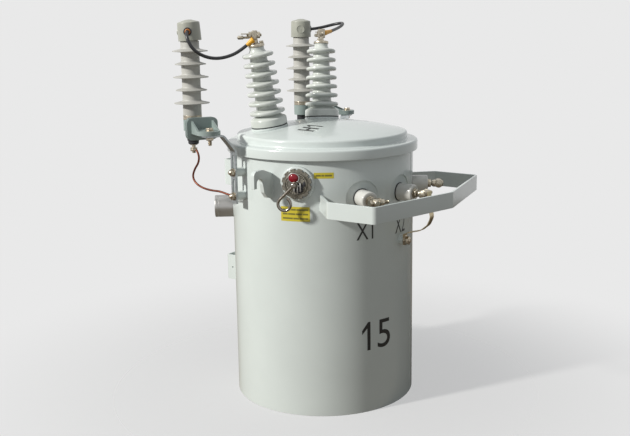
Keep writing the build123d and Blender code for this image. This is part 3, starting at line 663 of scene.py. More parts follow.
def lathe(name, points, steps=64, arc_steps=4, angle=SHARP):
    """Spin a profile of (radius, height) points in mm round Z into a closed solid."""
    profile = rounded(points, arc_steps)
    clear_selection()
    bpy.ops.mesh.primitive_plane_add(size=MM)
    piece = named(name)
    begin_edit(piece)
    bpy.ops.mesh.merge(type="CENTER")
    bpy.ops.transform.translate(value=(profile[0][0] * MM, 0, profile[0][1] * MM))
    for before, after in zip(profile, profile[1:]):
        step = ((after[0] - before[0]) * MM, 0, (after[1] - before[1]) * MM)
        bpy.ops.mesh.extrude_region_move(TRANSFORM_OT_translate={"value": step})
    bpy.ops.mesh.select_all(action="SELECT")
    bpy.ops.mesh.spin(steps=steps, angle=2 * pi, center=(0, 0, 0), axis=(0, 0, 1))
    close_mesh()
    end_edit()
    return smooth(piece, angle)


def disc(name, radius, low, high, foot=0.3, top=0.3, steps=40, arc_steps=2):
    """A round solid along Z, in mm, whose lower and upper edges are rounded by foot and top."""
    points = [(0, low), (radius, low, foot), (radius, high, top), (0, high)]
    return lathe(name, points, steps, arc_steps)


def bevelled(name, edge):
    """Name the primitive just added and round all of its edges, in mm."""
    piece = named(name)
    bpy.ops.object.transform_apply(location=True, scale=True)
    begin_edit(piece)
    bpy.ops.mesh.bevel(offset=edge * MM, segments=2)
    end_edit()
    return smooth(piece)


def hexagon(name, across, low, high, edge=0.5):
    """A nut or bolt head along Z, in mm, with softened edges."""
    clear_selection()
    bpy.ops.mesh.primitive_cylinder_add(
        vertices=6,
        radius=across / 2 / cos(radians(30)) * MM,
        depth=(high - low) * MM,
        location=(0, 0, (low + high) / 2 * MM),
    )
    return bevelled(name, edge)


def block(name, low, high, edge=0.8):
    """A box between two corners in mm, with softened edges."""
    clear_selection()
    bpy.ops.mesh.primitive_cube_add(size=MM)
    box = bpy.context.object
    box.scale = [top - bottom for bottom, top in zip(low, high)]
    box.location = [(top + bottom) / 2 * MM for bottom, top in zip(low, high)]
    return bevelled(name, edge)


def thread(name, radius, low, high):
    """A threaded end along Z with a chamfered tip, in mm."""
    root = radius - 0.55 * THREAD_PITCH
    tip = 0.8
    points = [(0, low), (root, low)]
    for turn in range(int((high - low - 1.5 * tip) / THREAD_PITCH)):
        start = low + turn * THREAD_PITCH
        crest = [start + share * THREAD_PITCH for share in (0.45, 0.6)]
        points += [(radius, crest[0]), (radius, crest[1]), (root, start + THREAD_PITCH)]
    points += [(root, high - tip), (root - tip, high), (0, high)]
    return lathe(name, points, 24)


def put(piece, matrix):
    """Carry a piece made at the origin to its place, and apply the place to its mesh."""
    pick(piece)
    piece.matrix_world = matrix
    bpy.ops.object.transform_apply(location=True, rotation=True, scale=True)
    return piece


def turned(name, points, place, slot, node, finish=None, steps=64, arc_steps=4, angle=SHARP):
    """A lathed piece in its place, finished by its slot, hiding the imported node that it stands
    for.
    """
    piece = put(lathe(name, points, steps, arc_steps, angle), place)
    return own(piece, slot, node, finish=finish)


def copy_of(piece, name):
    """A copy of a piece with its own mesh."""
    twin = piece.copy()
    twin.data = piece.data.copy()
    twin.name = name
    twin.data.name = name
    bpy.context.collection.objects.link(twin)
    return twin


def joined(name, pieces):
    """One piece made of several."""
    pick(*pieces)
    bpy.ops.object.join()
    return named(name)


def bolt_set(name, matrix, hexes=(), washers=(), threads=()):
    """Nuts, washers and threaded ends along one axis, joined and put in place.

    A hex is (width across, low, high), a washer and a thread are (radius, low, high), in mm.
    """
    parts = [hexagon(name, *size) for size in hexes]
    parts += [disc(name, *size) for size in washers]
    parts += [thread(name, *size) for size in threads]
    return put(joined(name, parts), matrix)


def shift(x, y, z=0.0):
    """Matrix of a move in mm."""
    return Matrix.Translation((x * MM, y * MM, z * MM))


def outward(angle):
    """Unit vector straight out from the tank's axis at an angle from +X."""
    return Vector((cos(radians(angle)), sin(radians(angle)), 0))


def frame_at(origin, x_axis, z_axis):
    """Matrix of a place in mm with its local X and Z directions."""
    z_axis = Vector(z_axis).normalized()
    x_axis = Vector(x_axis).normalized()
    y_axis = z_axis.cross(x_axis)
    turn = Matrix((x_axis, y_axis, z_axis)).transposed().to_4x4()
    return shift(*origin) @ turn


def radial_frame(origin, out):
    """Local Z along a level direction, Y up, X across it."""
    return frame_at(origin, (-out.y, out.x, 0), out)


def wall_frame(angle, radius, height):
    """Local Z straight out from the tank, Y up, X along the wall."""
    out = outward(angle)
    return radial_frame(out * radius + Vector((0, 0, height)), out)


def side_angle(side, angle):
    """The angle on the left or right side that mirrors one measured from +X."""
    return angle if side > 0 else 180 - angle


def hv_frame(side):
    """Local Z up a high-voltage bushing's axis from its seat, X away from the tank's axis."""
    out = outward(side_angle(side, HV_ANGLE))
    lean = radians(HV_TILT)
    axis = out * sin(lean) + Vector((0, 0, cos(lean)))
    across = out * cos(lean) - Vector((0, 0, sin(lean)))
    return frame_at(out * HV_RADIUS + Vector((0, 0, HV_SEAT)), across, axis)


def soften(piece, bevel):
    """Round a piece's sharp edges, in mm, and even out its normals."""
    if bevel:
        add_modifier(
            piece, "BEVEL",
            width=bevel * MM,
            segments=2,
            limit_method="ANGLE",
            angle_limit=radians(SHARP),
        )
    smooth(piece)
    add_modifier(piece, "WEIGHTED_NORMAL", keep_sharp=True)
    return piece


def dress(node, name, bevel, slot):
    """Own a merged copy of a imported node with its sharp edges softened, in mm."""
    piece = copy_of(frame["nodes"][node], name)
    piece.parent = None
    pick(piece)
    if piece.data.has_custom_normals:
        bpy.ops.mesh.customdata_custom_splitnormals_clear()
    begin_edit(piece)
    bpy.ops.mesh.remove_doubles(threshold=0.01 * MM)
    bpy.ops.mesh.dissolve_limited(angle_limit=radians(0.5))
    bpy.ops.mesh.normals_make_consistent(inside=False)
    end_edit()
    return own(soften(piece, bevel), slot, node)


def cord_curve(name, points, radius, sides, steps, weights=None, closed=False):
    """A round tube through points in mm, as a curve."""
    curve = bpy.data.curves.new(name, "CURVE")
    curve.dimensions = "3D"
    spline = curve.splines.new("NURBS")
    spline.points.add(len(points) - 1)
    for at, (point, place) in enumerate(zip(spline.points, points)):
        point.co = (*(value * MM for value in place), 1.0)
        point.radius = weights[at] if weights else 1.0
    spline.order_u = 3
    spline.use_endpoint_u = not closed
    spline.use_cyclic_u = closed
    curve.resolution_u = steps
    curve.bevel_depth = radius * MM
    curve.bevel_resolution = sides
    curve.use_fill_caps = not closed
    return linked(name, curve)


def weld_bead(name, points, radius, closed=False):
    """A rippled bead of weld along points in mm, as a mesh."""
    dense = []
    ends = list(zip(points, points[1:]))
    if closed:
        ends.append((points[-1], points[0]))
    for start, end in ends:
        start, end = Vector(start), Vector(end)
        count = max(1, round((end - start).length / RIPPLE_LENGTH))
        dense += [start.lerp(end, step / count) for step in range(count)]
    if not closed:
        dense.append(Vector(points[-1]))
    weights = [1.0 if at % 2 else RIPPLE_TROUGH for at in range(len(dense))]
    piece = cord_curve(name, dense, radius, *BEAD_FINENESS, weights, closed)
    pick(piece)
    bpy.ops.object.convert(target="MESH")
    return smooth(piece, 60)


# ---- operators
class TRANSFORMER_OT_frame_finishes(bpy.types.Operator):
    """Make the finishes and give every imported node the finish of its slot."""

    bl_idname = "transformer.frame_finishes"
    bl_label = "Frame finishes"

    def execute(self, context):
        settings = context.scene.transformer
        make_painted_and_glazed(settings)
        make_moulded(settings)
        make_metals()
        for part in frame["record"]["subparts"]:
            node = frame["nodes"][part["node"]]
            node.data.materials.clear()
            node.data.materials.append(
                bpy.data.materials[SLOT_FINISHES[part["material_slot"]]]
            )
        return {"FINISHED"}


class TRANSFORMER_OT_tank(bpy.types.Operator):
    """Make the wall with its pressed flats, the breaker's pad, the ground boss and the bottom."""

    bl_idname = "transformer.tank"
    bl_label = "Tank"

    def execute(self, context):
        profile = [
            (TANK_INSIDE, 0.4),
            (TANK_INSIDE + 0.4, 0),
            (TANK_RADIUS, 0, 0.8),
            (TANK_RADIUS, FLANGE_FOOT, 2),
            (FLANGE_RADIUS, FLANGE_FOOT, 0.8),
            (FLANGE_RADIUS, TANK_HEIGHT, 0.8),
            (THICK_INSIDE, TANK_HEIGHT),
            (THICK_INSIDE, THICK_FROM + THICK_SLOPE),
            (TANK_INSIDE, THICK_FROM),
            (TANK_INSIDE, 0.4),
        ]
        wall = lathe("tank_wall", profile, 160)
        # Each flat is cut with a round tool that reaches out past the flange
        for angle in LV_ANGLES.values():
            press = disc("press", LV_FLAT_RADIUS, LV_FLAT, SKIRT_RADIUS, 0, 0, 96)
            put(press, wall_frame(angle, 0, LV_HEIGHT))
            add_modifier(wall, "BOOLEAN", operation="DIFFERENCE", solver="EXACT", object=press)
            bpy.data.objects.remove(press)
        own(soften(wall, 0.5), "tank_paint", "tank_shell")
        size = (BREAKER_PAD_RADIUS, THICK_INSIDE, BREAKER_PAD_FACE)
        pad = disc("pad_breaker", *size, 0, 4, 96, 5)
        boss = disc("ground_boss", GROUND_BOSS_RADIUS, 245, GROUND_BOSS_FACE, 0, 1.2, 48, 4)
        put(pad, wall_frame(BREAKER_ANGLE, 0, BREAKER_HEIGHT))
        put(boss, wall_frame(GROUND_ANGLE, 0, GROUND_HEIGHT))
        for piece in (pad, boss):
            own(piece, "tank_paint", "tank_shell")
        dress("tank_bottom", "bottom_plate", 0, "tank_paint")
        return {"FINISHED"}


class TRANSFORMER_OT_cover(bpy.types.Operator):
    """Make the flanged cover with its ledge, step and crown, and the bushing turrets."""

    bl_idname = "transformer.cover"
    bl_label = "Cover"

    def execute(self, context):
        inside = SKIRT_RADIUS - SHEET
        profile = [
            (inside, SKIRT_FOOT + 0.5),
            (SKIRT_RADIUS - 2, SKIRT_FOOT, 0.5),
            (SKIRT_RADIUS, SKIRT_FOOT, 0.8),
            (SKIRT_RADIUS, LEDGE_HEIGHT, 6.5),
            (STEP_RADIUS, LEDGE_HEIGHT, 4.5),
            (STEP_RADIUS, STEP_HEIGHT, 7.5),
            *CROWN,
            *((radius, height - SHEET) for radius, height in reversed(CROWN)),
            (STEP_RADIUS - SHEET, STEP_HEIGHT - 4),
            (STEP_RADIUS - SHEET, LEDGE_HEIGHT - SHEET),
            (inside, LEDGE_HEIGHT - SHEET, 3),
            (inside, SKIRT_FOOT + 0.5),
        ]
        own(lathe("cover_lid", profile, 160, 6, 50), "tank_paint", "cover")
        turret = [(0, -3), (50, -3, 1.5), (50, -8.5, 2), (47.5, -11.5, 2), (47.5, -34), (0, -34)]
        for name, side in SIDES.items():
            turned(f"turret_{name}", turret, hv_frame(side), "tank_paint", "cover", steps=96)
        return {"FINISHED"}


class TRANSFORMER_OT_hv_bushings(bpy.types.Operator):
    """Turn the two high-voltage porcelains with their seven round-edged sheds."""

    bl_idname = "transformer.hv_bushings"
    bl_label = "High-voltage bushings"

    def execute(self, context):
        points = [(0, 0), (49, 0, 1.5), (49, 19, 5.5)]
        for shed in range(HV_SHEDS):
            share = shed / (HV_SHEDS - 1)
            height = HV_FIRST_SHED + shed * HV_SHED_PITCH
            core = HV_CORE[0] - HV_CORE[1] * share
            tip = HV_TIP[0] - HV_TIP[1] * share
            points += [(core, height - 6.2, 2), (tip, height - 4.9, 4.5)]
            points += [(tip, height + 4.3, 4.4), (core, height + 7.6, 3)]
        points += [(19.5, 203, 3), (19.5, HV_LENGTH, 1), (0, HV_LENGTH)]
        first = lathe("hv_porcelain_left", points, 80, 5, 60)
        second = copy_of(first, "hv_porcelain_right")
        for piece, side in ((first, -1), (second, 1)):
            own(put(piece, hv_frame(side)), "glazed_porcelain", "hv_bushings")
        return {"FINISHED"}


def make_hv_seat(name, place):
    """Seat washer, neck and screw on top of a high-voltage bushing."""
    top = HV_LENGTH
    profile = [(0, top), (21.5, top, 1), (21.5, top + 7.6, 3), (0, top + 8.4)]
    seat = put(lathe("seat", profile, 56), place)
    profile = [(0, top + 8), (7.4, top + 8), (6.3, top + 12, 2), (6.3, 233), (0, 233)]
    neck = put(lathe("neck", profile, 40), place)
    spot = place @ shift(-13.8, 5.2)
    screw = bolt_set("screw", spot, hexes=[(10, 219, 224)], washers=[(6, 217.5, 219)])
    own(joined(f"hv_seat_{name}", [seat, neck, screw]), "tinned_bronze", "hv_terminals")


def make_hv_clamp(name, side, place):
    """Clamp, cross bolt and lug above a high-voltage bushing."""
    centre = place @ Vector((0, 0, HV_CLAMP * MM)) / MM
    along = outward(side_angle(side, 180 - HV_BOLT_ANGLE))
    across = radial_frame(centre, along)
    parts = [
        put(block("jaw", (-11, -14, -7), (8, 12, 7), 2.2), across),
        put(block("root", (-6.5, -22, -6), (6.5, -12, 6), 1.6), across),
        put(block("lug", (-5, 1.6, 15), (5, 4.4, 36), 0.6), across),
        bolt_set(
            "cross", across,
            hexes=[(15, -14.5, -8.6), (15, 8.8, 15.6)],
            washers=[(8.6, -8.6, -7), (9.5, 7, 8.8)],
            threads=[(4.4, 12, 21)],
        ),
        bolt_set(
            "pin", across @ shift(0, -6.5), washers=[(5, 30, 44)], threads=[(3.4, 14, 46)]
        ),
        put(thread("tail", 4.4, 12, 18.5), frame_at(centre, (-along.y, along.x, 0), -along)),
    ]
    own(joined(f"hv_clamp_{name}", parts), "tinned_bronze", "hv_terminals")


class TRANSFORMER_OT_hv_terminals(bpy.types.Operator):
    """Make the seat washers, clamps and cross bolts on top of the high-voltage bushings."""

    bl_idname = "transformer.hv_terminals"
    bl_label = "High-voltage terminals"

    def execute(self, context):
        for name, side in SIDES.items():
            make_hv_seat(name, hv_frame(side))
            make_hv_clamp(name, side, hv_frame(side))
        return {"FINISHED"}


def make_arrester_cap(name, side, place):
    """Hood of an arrester, a little askew, with its lead port and its blank knock-out."""
    profile = [(22.4, 983), (28.6, 981, 0.6), (30.5, 981, 0.9), (30.3, 1000), (29.4, 1029, 3.2)]
    profile += [(12, 1034.2, 6), (9, 1035.4, 2), (0, 1036), (0, 1011), (22.4, 1011), (22.4, 983)]
    lean = Matrix.Rotation(radians(CAP_LEANS[name]), 4, Vector(CAP_LEAN_AXIS))
    spot = place @ shift(0, 0, CAP_LEAN_HEIGHT) @ lean @ shift(0, 0, -CAP_LEAN_HEIGHT)
    hood = ("cap_polymer", "arrester_caps")
    turned(f"arrester_cap_{name}", profile, spot, *hood, steps=80, arc_steps=5, angle=40)

    axis = (side * ARRESTER_X, ARRESTER_Y, CAP_PORT_HEIGHT)
    heading = side_angle(side, -CAP_PORT_ANGLE)
    port = radial_frame(axis, outward(heading))
    seat = [(0, 26), (11, 26), (11, 31.2, 1), (8, 31.2, 0.6), (8, 29.6), (0, 29.6)]
    turned(f"grommet_{name}_seat", seat, port, "black_moulding", "arrester_caps", steps=56)
    collar = [(4.4, 29), (7.8, 29), (7.8, 30.8, 1), (4.4, 32.6, 1), (4.4, 29)]
    rubber = ("amber_sleeve", "arrester_caps", "orange_rubber_grommet")
    turned(f"grommet_{name}", collar, port, *rubber, steps=56)
    blank = [(0, 26), (12, 26), (12, 30.9, 0.4), (11, 30.9, 0.3), (10.8, 30, 0.3), (0, 30)]
    port = radial_frame(axis, outward(heading - KNOCKOUT_TURN))
    turned(f"knockout_{name}", blank, port, *hood, steps=48)


class TRANSFORMER_OT_arresters(bpy.types.Operator):
    """Make the arrester housings, their rings below and their caps above."""

    bl_idname = "transformer.arresters"
    bl_label = "Arresters"

    def execute(self, context):
        points = [(0, ARRESTER_BASE), (ARRESTER_CORE, ARRESTER_BASE, 0.5)]
        for shed in range(ARRESTER_SHEDS):
            height = ARRESTER_BASE + ARRESTER_FIRST_SHED + shed * ARRESTER_SHED_PITCH
            tip = ARRESTER_TIPS[shed % 2]
            points += [(ARRESTER_CORE, height - 3.2, 2), (tip, height - 1.0, 0.9)]
            points += [(tip, height + 1.0, 0.9), (ARRESTER_CORE, height + 6, 5)]
        points += [(ARRESTER_CORE, 980.5, 0.8), (22, 980.5), (22, 1005), (0, 1005)]
        ring = [(0, 774), (25.4, 774, 0.6), (25.4, 776), (24.8, 776.8), (24.8, 782.2)]
        ring += [(25.4, 783), (25.4, ARRESTER_BASE, 0.6), (0, ARRESTER_BASE)]
        plate = ("galvanised_steel", "arrester_rings", "passivated_zinc_plate")
        for name, side in SIDES.items():
            place = shift(side * ARRESTER_X, ARRESTER_Y)
            rubber = ("grey_polymer", "arrester_housings")
            turned(f"arrester_housing_{name}", points, place, *rubber, steps=80, angle=50)
            turned(f"arrester_ring_{name}", ring, place, *plate, steps=72)
            if name == "right":
                origin = (ARRESTER_X, ARRESTER_Y, RING_SCREW_HEIGHT)
                spot = frame_at(origin, (0, 0, 1), RING_SCREW_HEADING)
                screw = bolt_set("ring_screw", spot, hexes=[(10, 25, 31)], threads=[(2.6, 30, 39)])
                own(screw, "zinc_hardware", "arrester_rings")
            make_arrester_cap(name, side, place)
        return {"FINISHED"}


class TRANSFORMER_OT_brackets(bpy.types.Operator):
    """Finish the moulded brackets and make the disconnectors and their studs."""

    bl_idname = "transformer.brackets"
    bl_label = "Brackets and disconnectors"

    def execute(self, context):
        dress("arrester_brackets", "bracket_mouldings", 0.9, "moulded_grey_green")
        pot = [(0, 707), (12, 707, 1), (14.5, 709.5, 1), (14.5, 716, 0.5), (16.5, 717, 0.6)]
        pot += [(16.5, 744), (0, 744)]
        moulding = ("black_moulding", "disconnectors")
        for name, side in SIDES.items():
            place = shift(side * ARRESTER_X, ARRESTER_Y)
            turned(f"disconnector_{name}", pot, place, *moulding, steps=56)
            stud = bolt_set(
                f"disconnector_stud_{name}", place,
                hexes=[(17, 688.2, 695.4)],
                washers=[(9.6, 695.6, 697.2), (10.5, 705.2, 707)],
                threads=[(5, 683, 690)],
            )
            neck = put(disc("neck", 5, 697, 706, 0, 0, 32), place)
            own(joined(stud.name, [stud, neck]), "zinc_hardware", "disconnector_studs")
        return {"FINISHED"}


class TRANSFORMER_OT_straps(bpy.types.Operator):
    """Finish the bent straps and their bosses, and make their hardware."""

    bl_idname = "transformer.straps"
    bl_label = "Straps and hardware"

    def execute(self, context):
        dress("arrester_straps", "bent_straps", 0.7, "galvanised_steel")
        dress("strap_bosses", "strap_standoffs", 0.6, "tank_paint")
        for name, side in SIDES.items():
            angle = side_angle(side, 180 - STRAP_ANGLE)
            for level, height in STRAP_BOLT_HEIGHTS.items():
                nut = bolt_set(
                    f"strap_nut_{name}_{level}", wall_frame(angle, STRAP_FACE, height),
                    hexes=[(17, 1.8, 8.5)],
                    washers=[(11, 0, 1.7)],
                    threads=[(5, 8, 14.5)],
                )
                own(nut, "zinc_hardware", "strap_bolts")
            spot = outward(angle) * STRAP_BOLT_RADIUS
            bolt = bolt_set(
                f"bracket_bolt_{name}", shift(*spot),
                hexes=[(17, 757.2, 763.5), (17, 731.4, 737.4)],
                washers=[(11.5, 755.5, 757.1), (11.5, 737.9, 739.5), (8.8, 737.3, 738)],
                threads=[(5, 739, 756)],
            )
            tail = put(thread("tail", 5, -731.6, -717.5), frame_at(spot, (1, 0, 0), (0, 0, -1)))
            own(joined(bolt.name, [bolt, tail]), "zinc_hardware", "bracket_bolts")
        return {"FINISHED"}


def make_lv_clamp(name, angle):
    """Barrel, eye, cross bolt and nuts on a low-voltage bushing."""
    place = wall_frame(angle, 0, LV_HEIGHT)
    barrel = [(0, 303), (8.6, 303, 1), (9.8, 308, 1), (9.8, 329, 2), (6.5, 334, 1.5), (0, 334)]
    out = outward(angle)
    centre = out * LV_CLAMP + Vector((0, 0, LV_HEIGHT))
    across = frame_at(centre, (0, 0, 1), (-out.y, out.x, 0))
    parts = [
        put(lathe("barrel", barrel, 40), place),
        put(disc("eye", 11.6, -9, 9, 1.8, 1.8, 48, 4), across),
        bolt_set(
            "cross", across,
            hexes=[(17, -18, -10.8), (17, 15.2, 22)],
            washers=[(10.6, -10.6, -9), (12, 9, 11.6), (10.2, 13.2, 15)],
            threads=[(5, 21, 37)],
        ),
        bolt_set(
            "nuts", place,
            hexes=[(19, LV_FACE + 2.6, LV_FACE + 10)],
            washers=[(12.4, LV_FACE, LV_FACE + 2.4)],
            threads=[(6, LV_FACE + 9, LV_FACE + 15)],
        ),
    ]
    own(joined(f"lv_clamp_{name}", parts), "tinned_bronze", "lv_terminals")


class TRANSFORMER_OT_lv_side(bpy.types.Operator):
    """Make the low-voltage bushings and terminals, the neutral strap and its bolt."""

    bl_idname = "transformer.lv_side"
    bl_label = "Low-voltage side"

    def execute(self, context):
        skin = [(0, LV_FLAT + 1), (22.5, LV_FLAT + 1, 0.8), (22.5, LV_FACE + 1, 5)]
        skin += [(15, LV_FACE + 1, 0.8), (13.5, LV_FACE), (0, LV_FACE)]
        glaze = ("glazed_porcelain", "lv_bushings", "white_porcelain_glaze")
        for name, angle in LV_ANGLES.items():
            place = wall_frame(angle, 0, LV_HEIGHT)
            turned(f"lv_porcelain_{name}", skin, place, *glaze, steps=72, arc_steps=6, angle=50)
            seal = disc(f"lv_seal_{name}", 24.5, LV_FLAT, LV_FLAT + 2.5, 0, 1, 64, 4)
            own(put(seal, place), "gasket_rubber", "lv_bushings")
            make_lv_clamp(name, angle)
        dress("neutral_strap", "neutral_strip", 0.3, "tinned_copper")
        bolt = bolt_set(
            "neutral_ground_bolt", wall_frame(GROUND_ANGLE, 0, GROUND_HEIGHT),
            hexes=[(20, 267.2, 276)],
            washers=[(13.5, 264, 265.6), (11.4, 265.6, 267.2)],
            threads=[(5.5, 275, 280)],
        )
        own(bolt, "zinc_hardware", "ground_bolt")
        return {"FINISHED"}


class TRANSFORMER_OT_plates(bpy.types.Operator):
    """Finish the guard bar, the lifting lugs and the pole hangers."""

    bl_idname = "transformer.plates"
    bl_label = "Bar, lugs and hangers"

    def execute(self, context):
        soft = context.scene.transformer.edge_softness / MM
        dress("guard_bar", "bent_guard_bar", soft, "tank_paint")
        dress("lifting_lugs", "lug_plates", 1.2 * soft, "tank_paint")
        dress("hangers", "pole_hanger_channels", 0.9 * soft, "tank_paint")
        return {"FINISHED"}


def weld_ring(angle, height, radius, bead):
    """A bead round a boss on the wall."""
    points = []
    count = max(24, round(radius * 2 * pi / 4))
    for step in range(count):
        turn = 2 * pi * step / count
        sideways = degrees(asin(radius * cos(turn) / TANK_RADIUS))
        spot = outward(angle + sideways) * TANK_RADIUS
        points.append(spot + Vector((0, 0, height + radius * sin(turn))))
    return weld_bead("weld_ring", points, bead, True)


def weld_line(x, y, low, high, bead):
    """An upright bead on the wall in the direction of a place."""
    reach = TANK_RADIUS / hypot(x, y)
    points = [(x * reach, y * reach, low), (x * reach, y * reach, high)]
    return weld_bead("weld_line", points, bead)


class TRANSFORMER_OT_welds(bpy.types.Operator):
    """Lay rippled weld beads where plates and bosses meet the tank."""

    bl_idname = "transformer.welds"
    bl_label = "Welds"

    def execute(self, context):
        beads = []
        lug_bead = context.scene.transformer.weld_size / MM
        for name, side in SIDES.items():
            angle = side_angle(side, 180 - STRAP_ANGLE)
            for height in STRAP_BOLT_HEIGHTS.values():
                beads.append(weld_ring(angle, height, STRAP_BOSS_RADIUS, BEADS["boss"]))
            for y in LUG_FACES:
                x = side * sqrt(TANK_RADIUS**2 - y**2)
                beads.append(weld_line(x, y, *LUG_SPAN, lug_bead))
            end = outward(BAR_END_ANGLES[name])
            beads.append(weld_line(end.x, end.y, *BAR_SPAN, BEADS["bar"]))
            for centre in HANGER_HEIGHTS:
                span = (centre - HANGER_HALF_HEIGHT, centre + HANGER_HALF_HEIGHT)
                for x in HANGER_EDGES:
                    y = sqrt(TANK_RADIUS**2 - x**2)
                    beads.append(weld_line(side * x, y, *span, BEADS["hanger"]))
        ground = (GROUND_ANGLE, GROUND_HEIGHT, GROUND_BOSS_RADIUS)
        beads.append(weld_ring(*ground, BEADS["ground"]))
        beads.append(weld_ring(TAP_ANGLE, TAP_HEIGHT, TAP_RADIUS, BEADS["tap"]))
        seam = outward(SEAM_ANGLE)
        beads.append(weld_line(seam.x, seam.y, *SEAM_SPAN, BEADS["seam"]))
        own(joined("weld_beads", beads), "tank_paint")
        return {"FINISHED"}


def make_dial(place):
    """Toothed dial with its hub."""
    profile = [(0, 264), (29, 264), (29, 271.5, 0.8), (26.6, 272, 0.8), (25.6, 269.4, 0.8)]
    profile += [(11, 269.4, 1), (7.8, 271, 1), (7.8, 281, 0.8), (0, 281)]
    parts = [put(lathe("dial", profile, 80), place)]
    for step in range(DIAL_TEETH):
        spot = outward(360 * step / DIAL_TEETH) * DIAL_TOOTH_CIRCLE
        parts.append(put(hexagon("tooth", *DIAL_TOOTH), place @ shift(*spot)))
    own(joined("toothed_dial", parts), "breaker_metal", "breaker_dial")


def make_latch(place):
    """Black disc and hook painted as the shade in the dial's hollow, and the bright levers over
    it.
    """
    # The disc and the hook are black to paint the shade in the hollow and at the dial's right side
    pit = put(disc("latch_pit", 13.5, 268, 271.8, 0, 0.3, 56, 4), place @ shift(*PAINTED_SHADE_PLACE))
    hook = put(block("hook", (19.5, -4, 268), (25.5, 7, 274)), place)
    own(joined("latch_pit", [pit, hook]), "black_moulding", "breaker_dial")
    levers = [
        put(block("lever", (left, low, 271), (right, high, top), 0.9), place)
        for left, low, right, high, top in LEVERS
    ]
    levers = joined("latch_levers", levers)
    own(levers, "breaker_metal", "breaker_dial", finish="turned_bright_steel")


def make_signal_lens(place):
    """Rim and dome of the signal lens, slightly flattened upright."""
    place = place @ shift(*LENS_PLACE) @ Matrix.Diagonal((1, LENS_FLATNESS, 1, 1))
    rim = [(12.9, 268), (15.4, 268), (15.4, 273.6, 1), (13.1, 273.6, 0.7), (12.9, 268)]
    turned("lens_rim", rim, place, "breaker_metal", "breaker_dial", "turned_bright_steel")
    dome = [(0, 269), (LENS_RADIUS, 269)]
    foot, rise = LENS_DOME
    for step in range(DOME_STEPS + 1):
        turn = pi / 2 * step / DOME_STEPS
        dome.append((LENS_RADIUS * cos(turn), foot + rise * sin(turn)))
    turned("lens_dome", dome, place, "red_lens", "signal_lens", angle=60)


def make_handle(place):
    """Hook handle: a shank that runs tangent into an open eye, and its knob."""
    distance = hypot(*EYE_CENTRE)
    shank = sqrt(distance**2 - EYE_RADIUS**2)
    heading = atan2(EYE_CENTRE[1], EYE_CENTRE[0]) - asin(EYE_RADIUS / distance)
    clear_selection()
    bpy.ops.mesh.primitive_circle_add(
        vertices=20, radius=HANDLE_ROD * MM, rotation=(pi / 2, 0, heading + pi / 2)
    )
    rod = named("hook_rod")
    bpy.ops.object.transform_apply(rotation=True)
    begin_edit(rod)
    run = (shank * MM * cos(heading), shank * MM * sin(heading), 0)
    bpy.ops.mesh.extrude_region_move(TRANSFORM_OT_translate={"value": run})
    centre = (EYE_CENTRE[0] * MM, EYE_CENTRE[1] * MM, 0)
    bpy.ops.mesh.spin(steps=56, angle=-radians(EYE_ARC), center=centre, axis=(0, 0, 1))
    close_mesh()
    end_edit()
    smooth(rod, 40)
    rod = put(rod, wall_frame(BREAKER_ANGLE, HANDLE_PLANE, BREAKER_HEIGHT))
    knob = [(0, 268), (5, 268), (5, 281.6), (6.5, 281.6, 0.6), (6.5, 293.5, 1.6), (0, 293.5)]
    handle = joined("hook_handle", [rod, put(lathe("knob", knob, 48), place)])
    own(handle, "breaker_metal", "breaker_handle", finish="polished_steel_rod", body=HANDLE)


class TRANSFORMER_OT_breaker(bpy.types.Operator):
    """Make the breaker's plate, dial, latch, signal lens and handle."""

    bl_idname = "transformer.breaker"
    bl_label = "Breaker"

    def execute(self, context):
        place = wall_frame(BREAKER_ANGLE, 0, BREAKER_HEIGHT)
        dress("breaker_plate", "notched_plate", 0.5, "breaker_metal")
        make_dial(place)
        make_latch(place)
        make_signal_lens(place)
        make_handle(place)
        return {"FINISHED"}


class TRANSFORMER_OT_tap_cap(bpy.types.Operator):
    """Turn the bright cap over the tap changer."""

    bl_idname = "transformer.tap_cap"
    bl_label = "Tap changer cap"

    def execute(self, context):
        profile = [(0, 300), (24, 300.2, 1), (26, 301, 1), (TAP_RADIUS, 301, 3.4)]
        groove = TAP_RADIUS - 0.4
        profile += [(TAP_RADIUS, 292, 0.3), (groove, 291.6), (groove, 291, 0.3)]
        profile += [(TAP_RADIUS, 290.6), (TAP_RADIUS, 244), (0, 244)]
        place = wall_frame(TAP_ANGLE, 0, TAP_HEIGHT)
        slot = ("bright_cap", "tap_changer_cap")
        turned("turned_tap_cap", profile, place, *slot, steps=96, arc_steps=5)
        return {"FINISHED"}


def wrap(piece, target, lift, finish):
    """Lay a flat piece on a target's surface, lift mm above it, as a thin film of a finish."""
    add_modifier(
        piece, "SHRINKWRAP",
        target=target,
        wrap_method="NEAREST_SURFACEPOINT",
        wrap_mode="ABOVE_SURFACE",
        offset=lift * MM,
    )
    add_modifier(piece, "SOLIDIFY", thickness=FILM_THICKNESS * MM, offset=-1)
    return own(piece, "tank_paint", finish=finish)


def lettering(name, text):
    """Flat text as the active curve."""
    clear_selection()
    bpy.ops.object.text_add()
    mark = named(name)
    mark.data.body = text
    mark.data.resolution_u = 6
    return mark


def flat_shape(name, points):
    """A flat outline in mm as a curve."""
    curve = bpy.data.curves.new(name, "CURVE")
    curve.dimensions = "2D"
    curve.fill_mode = "BOTH"
    outline = curve.splines.new("POLY")
    outline.points.add(len(points) - 1)
    for point, place in zip(outline.points, points):
        point.co = (place[0] * MM, place[1] * MM, 0, 1)
    outline.use_cyclic_u = True
    return linked(name, curve)


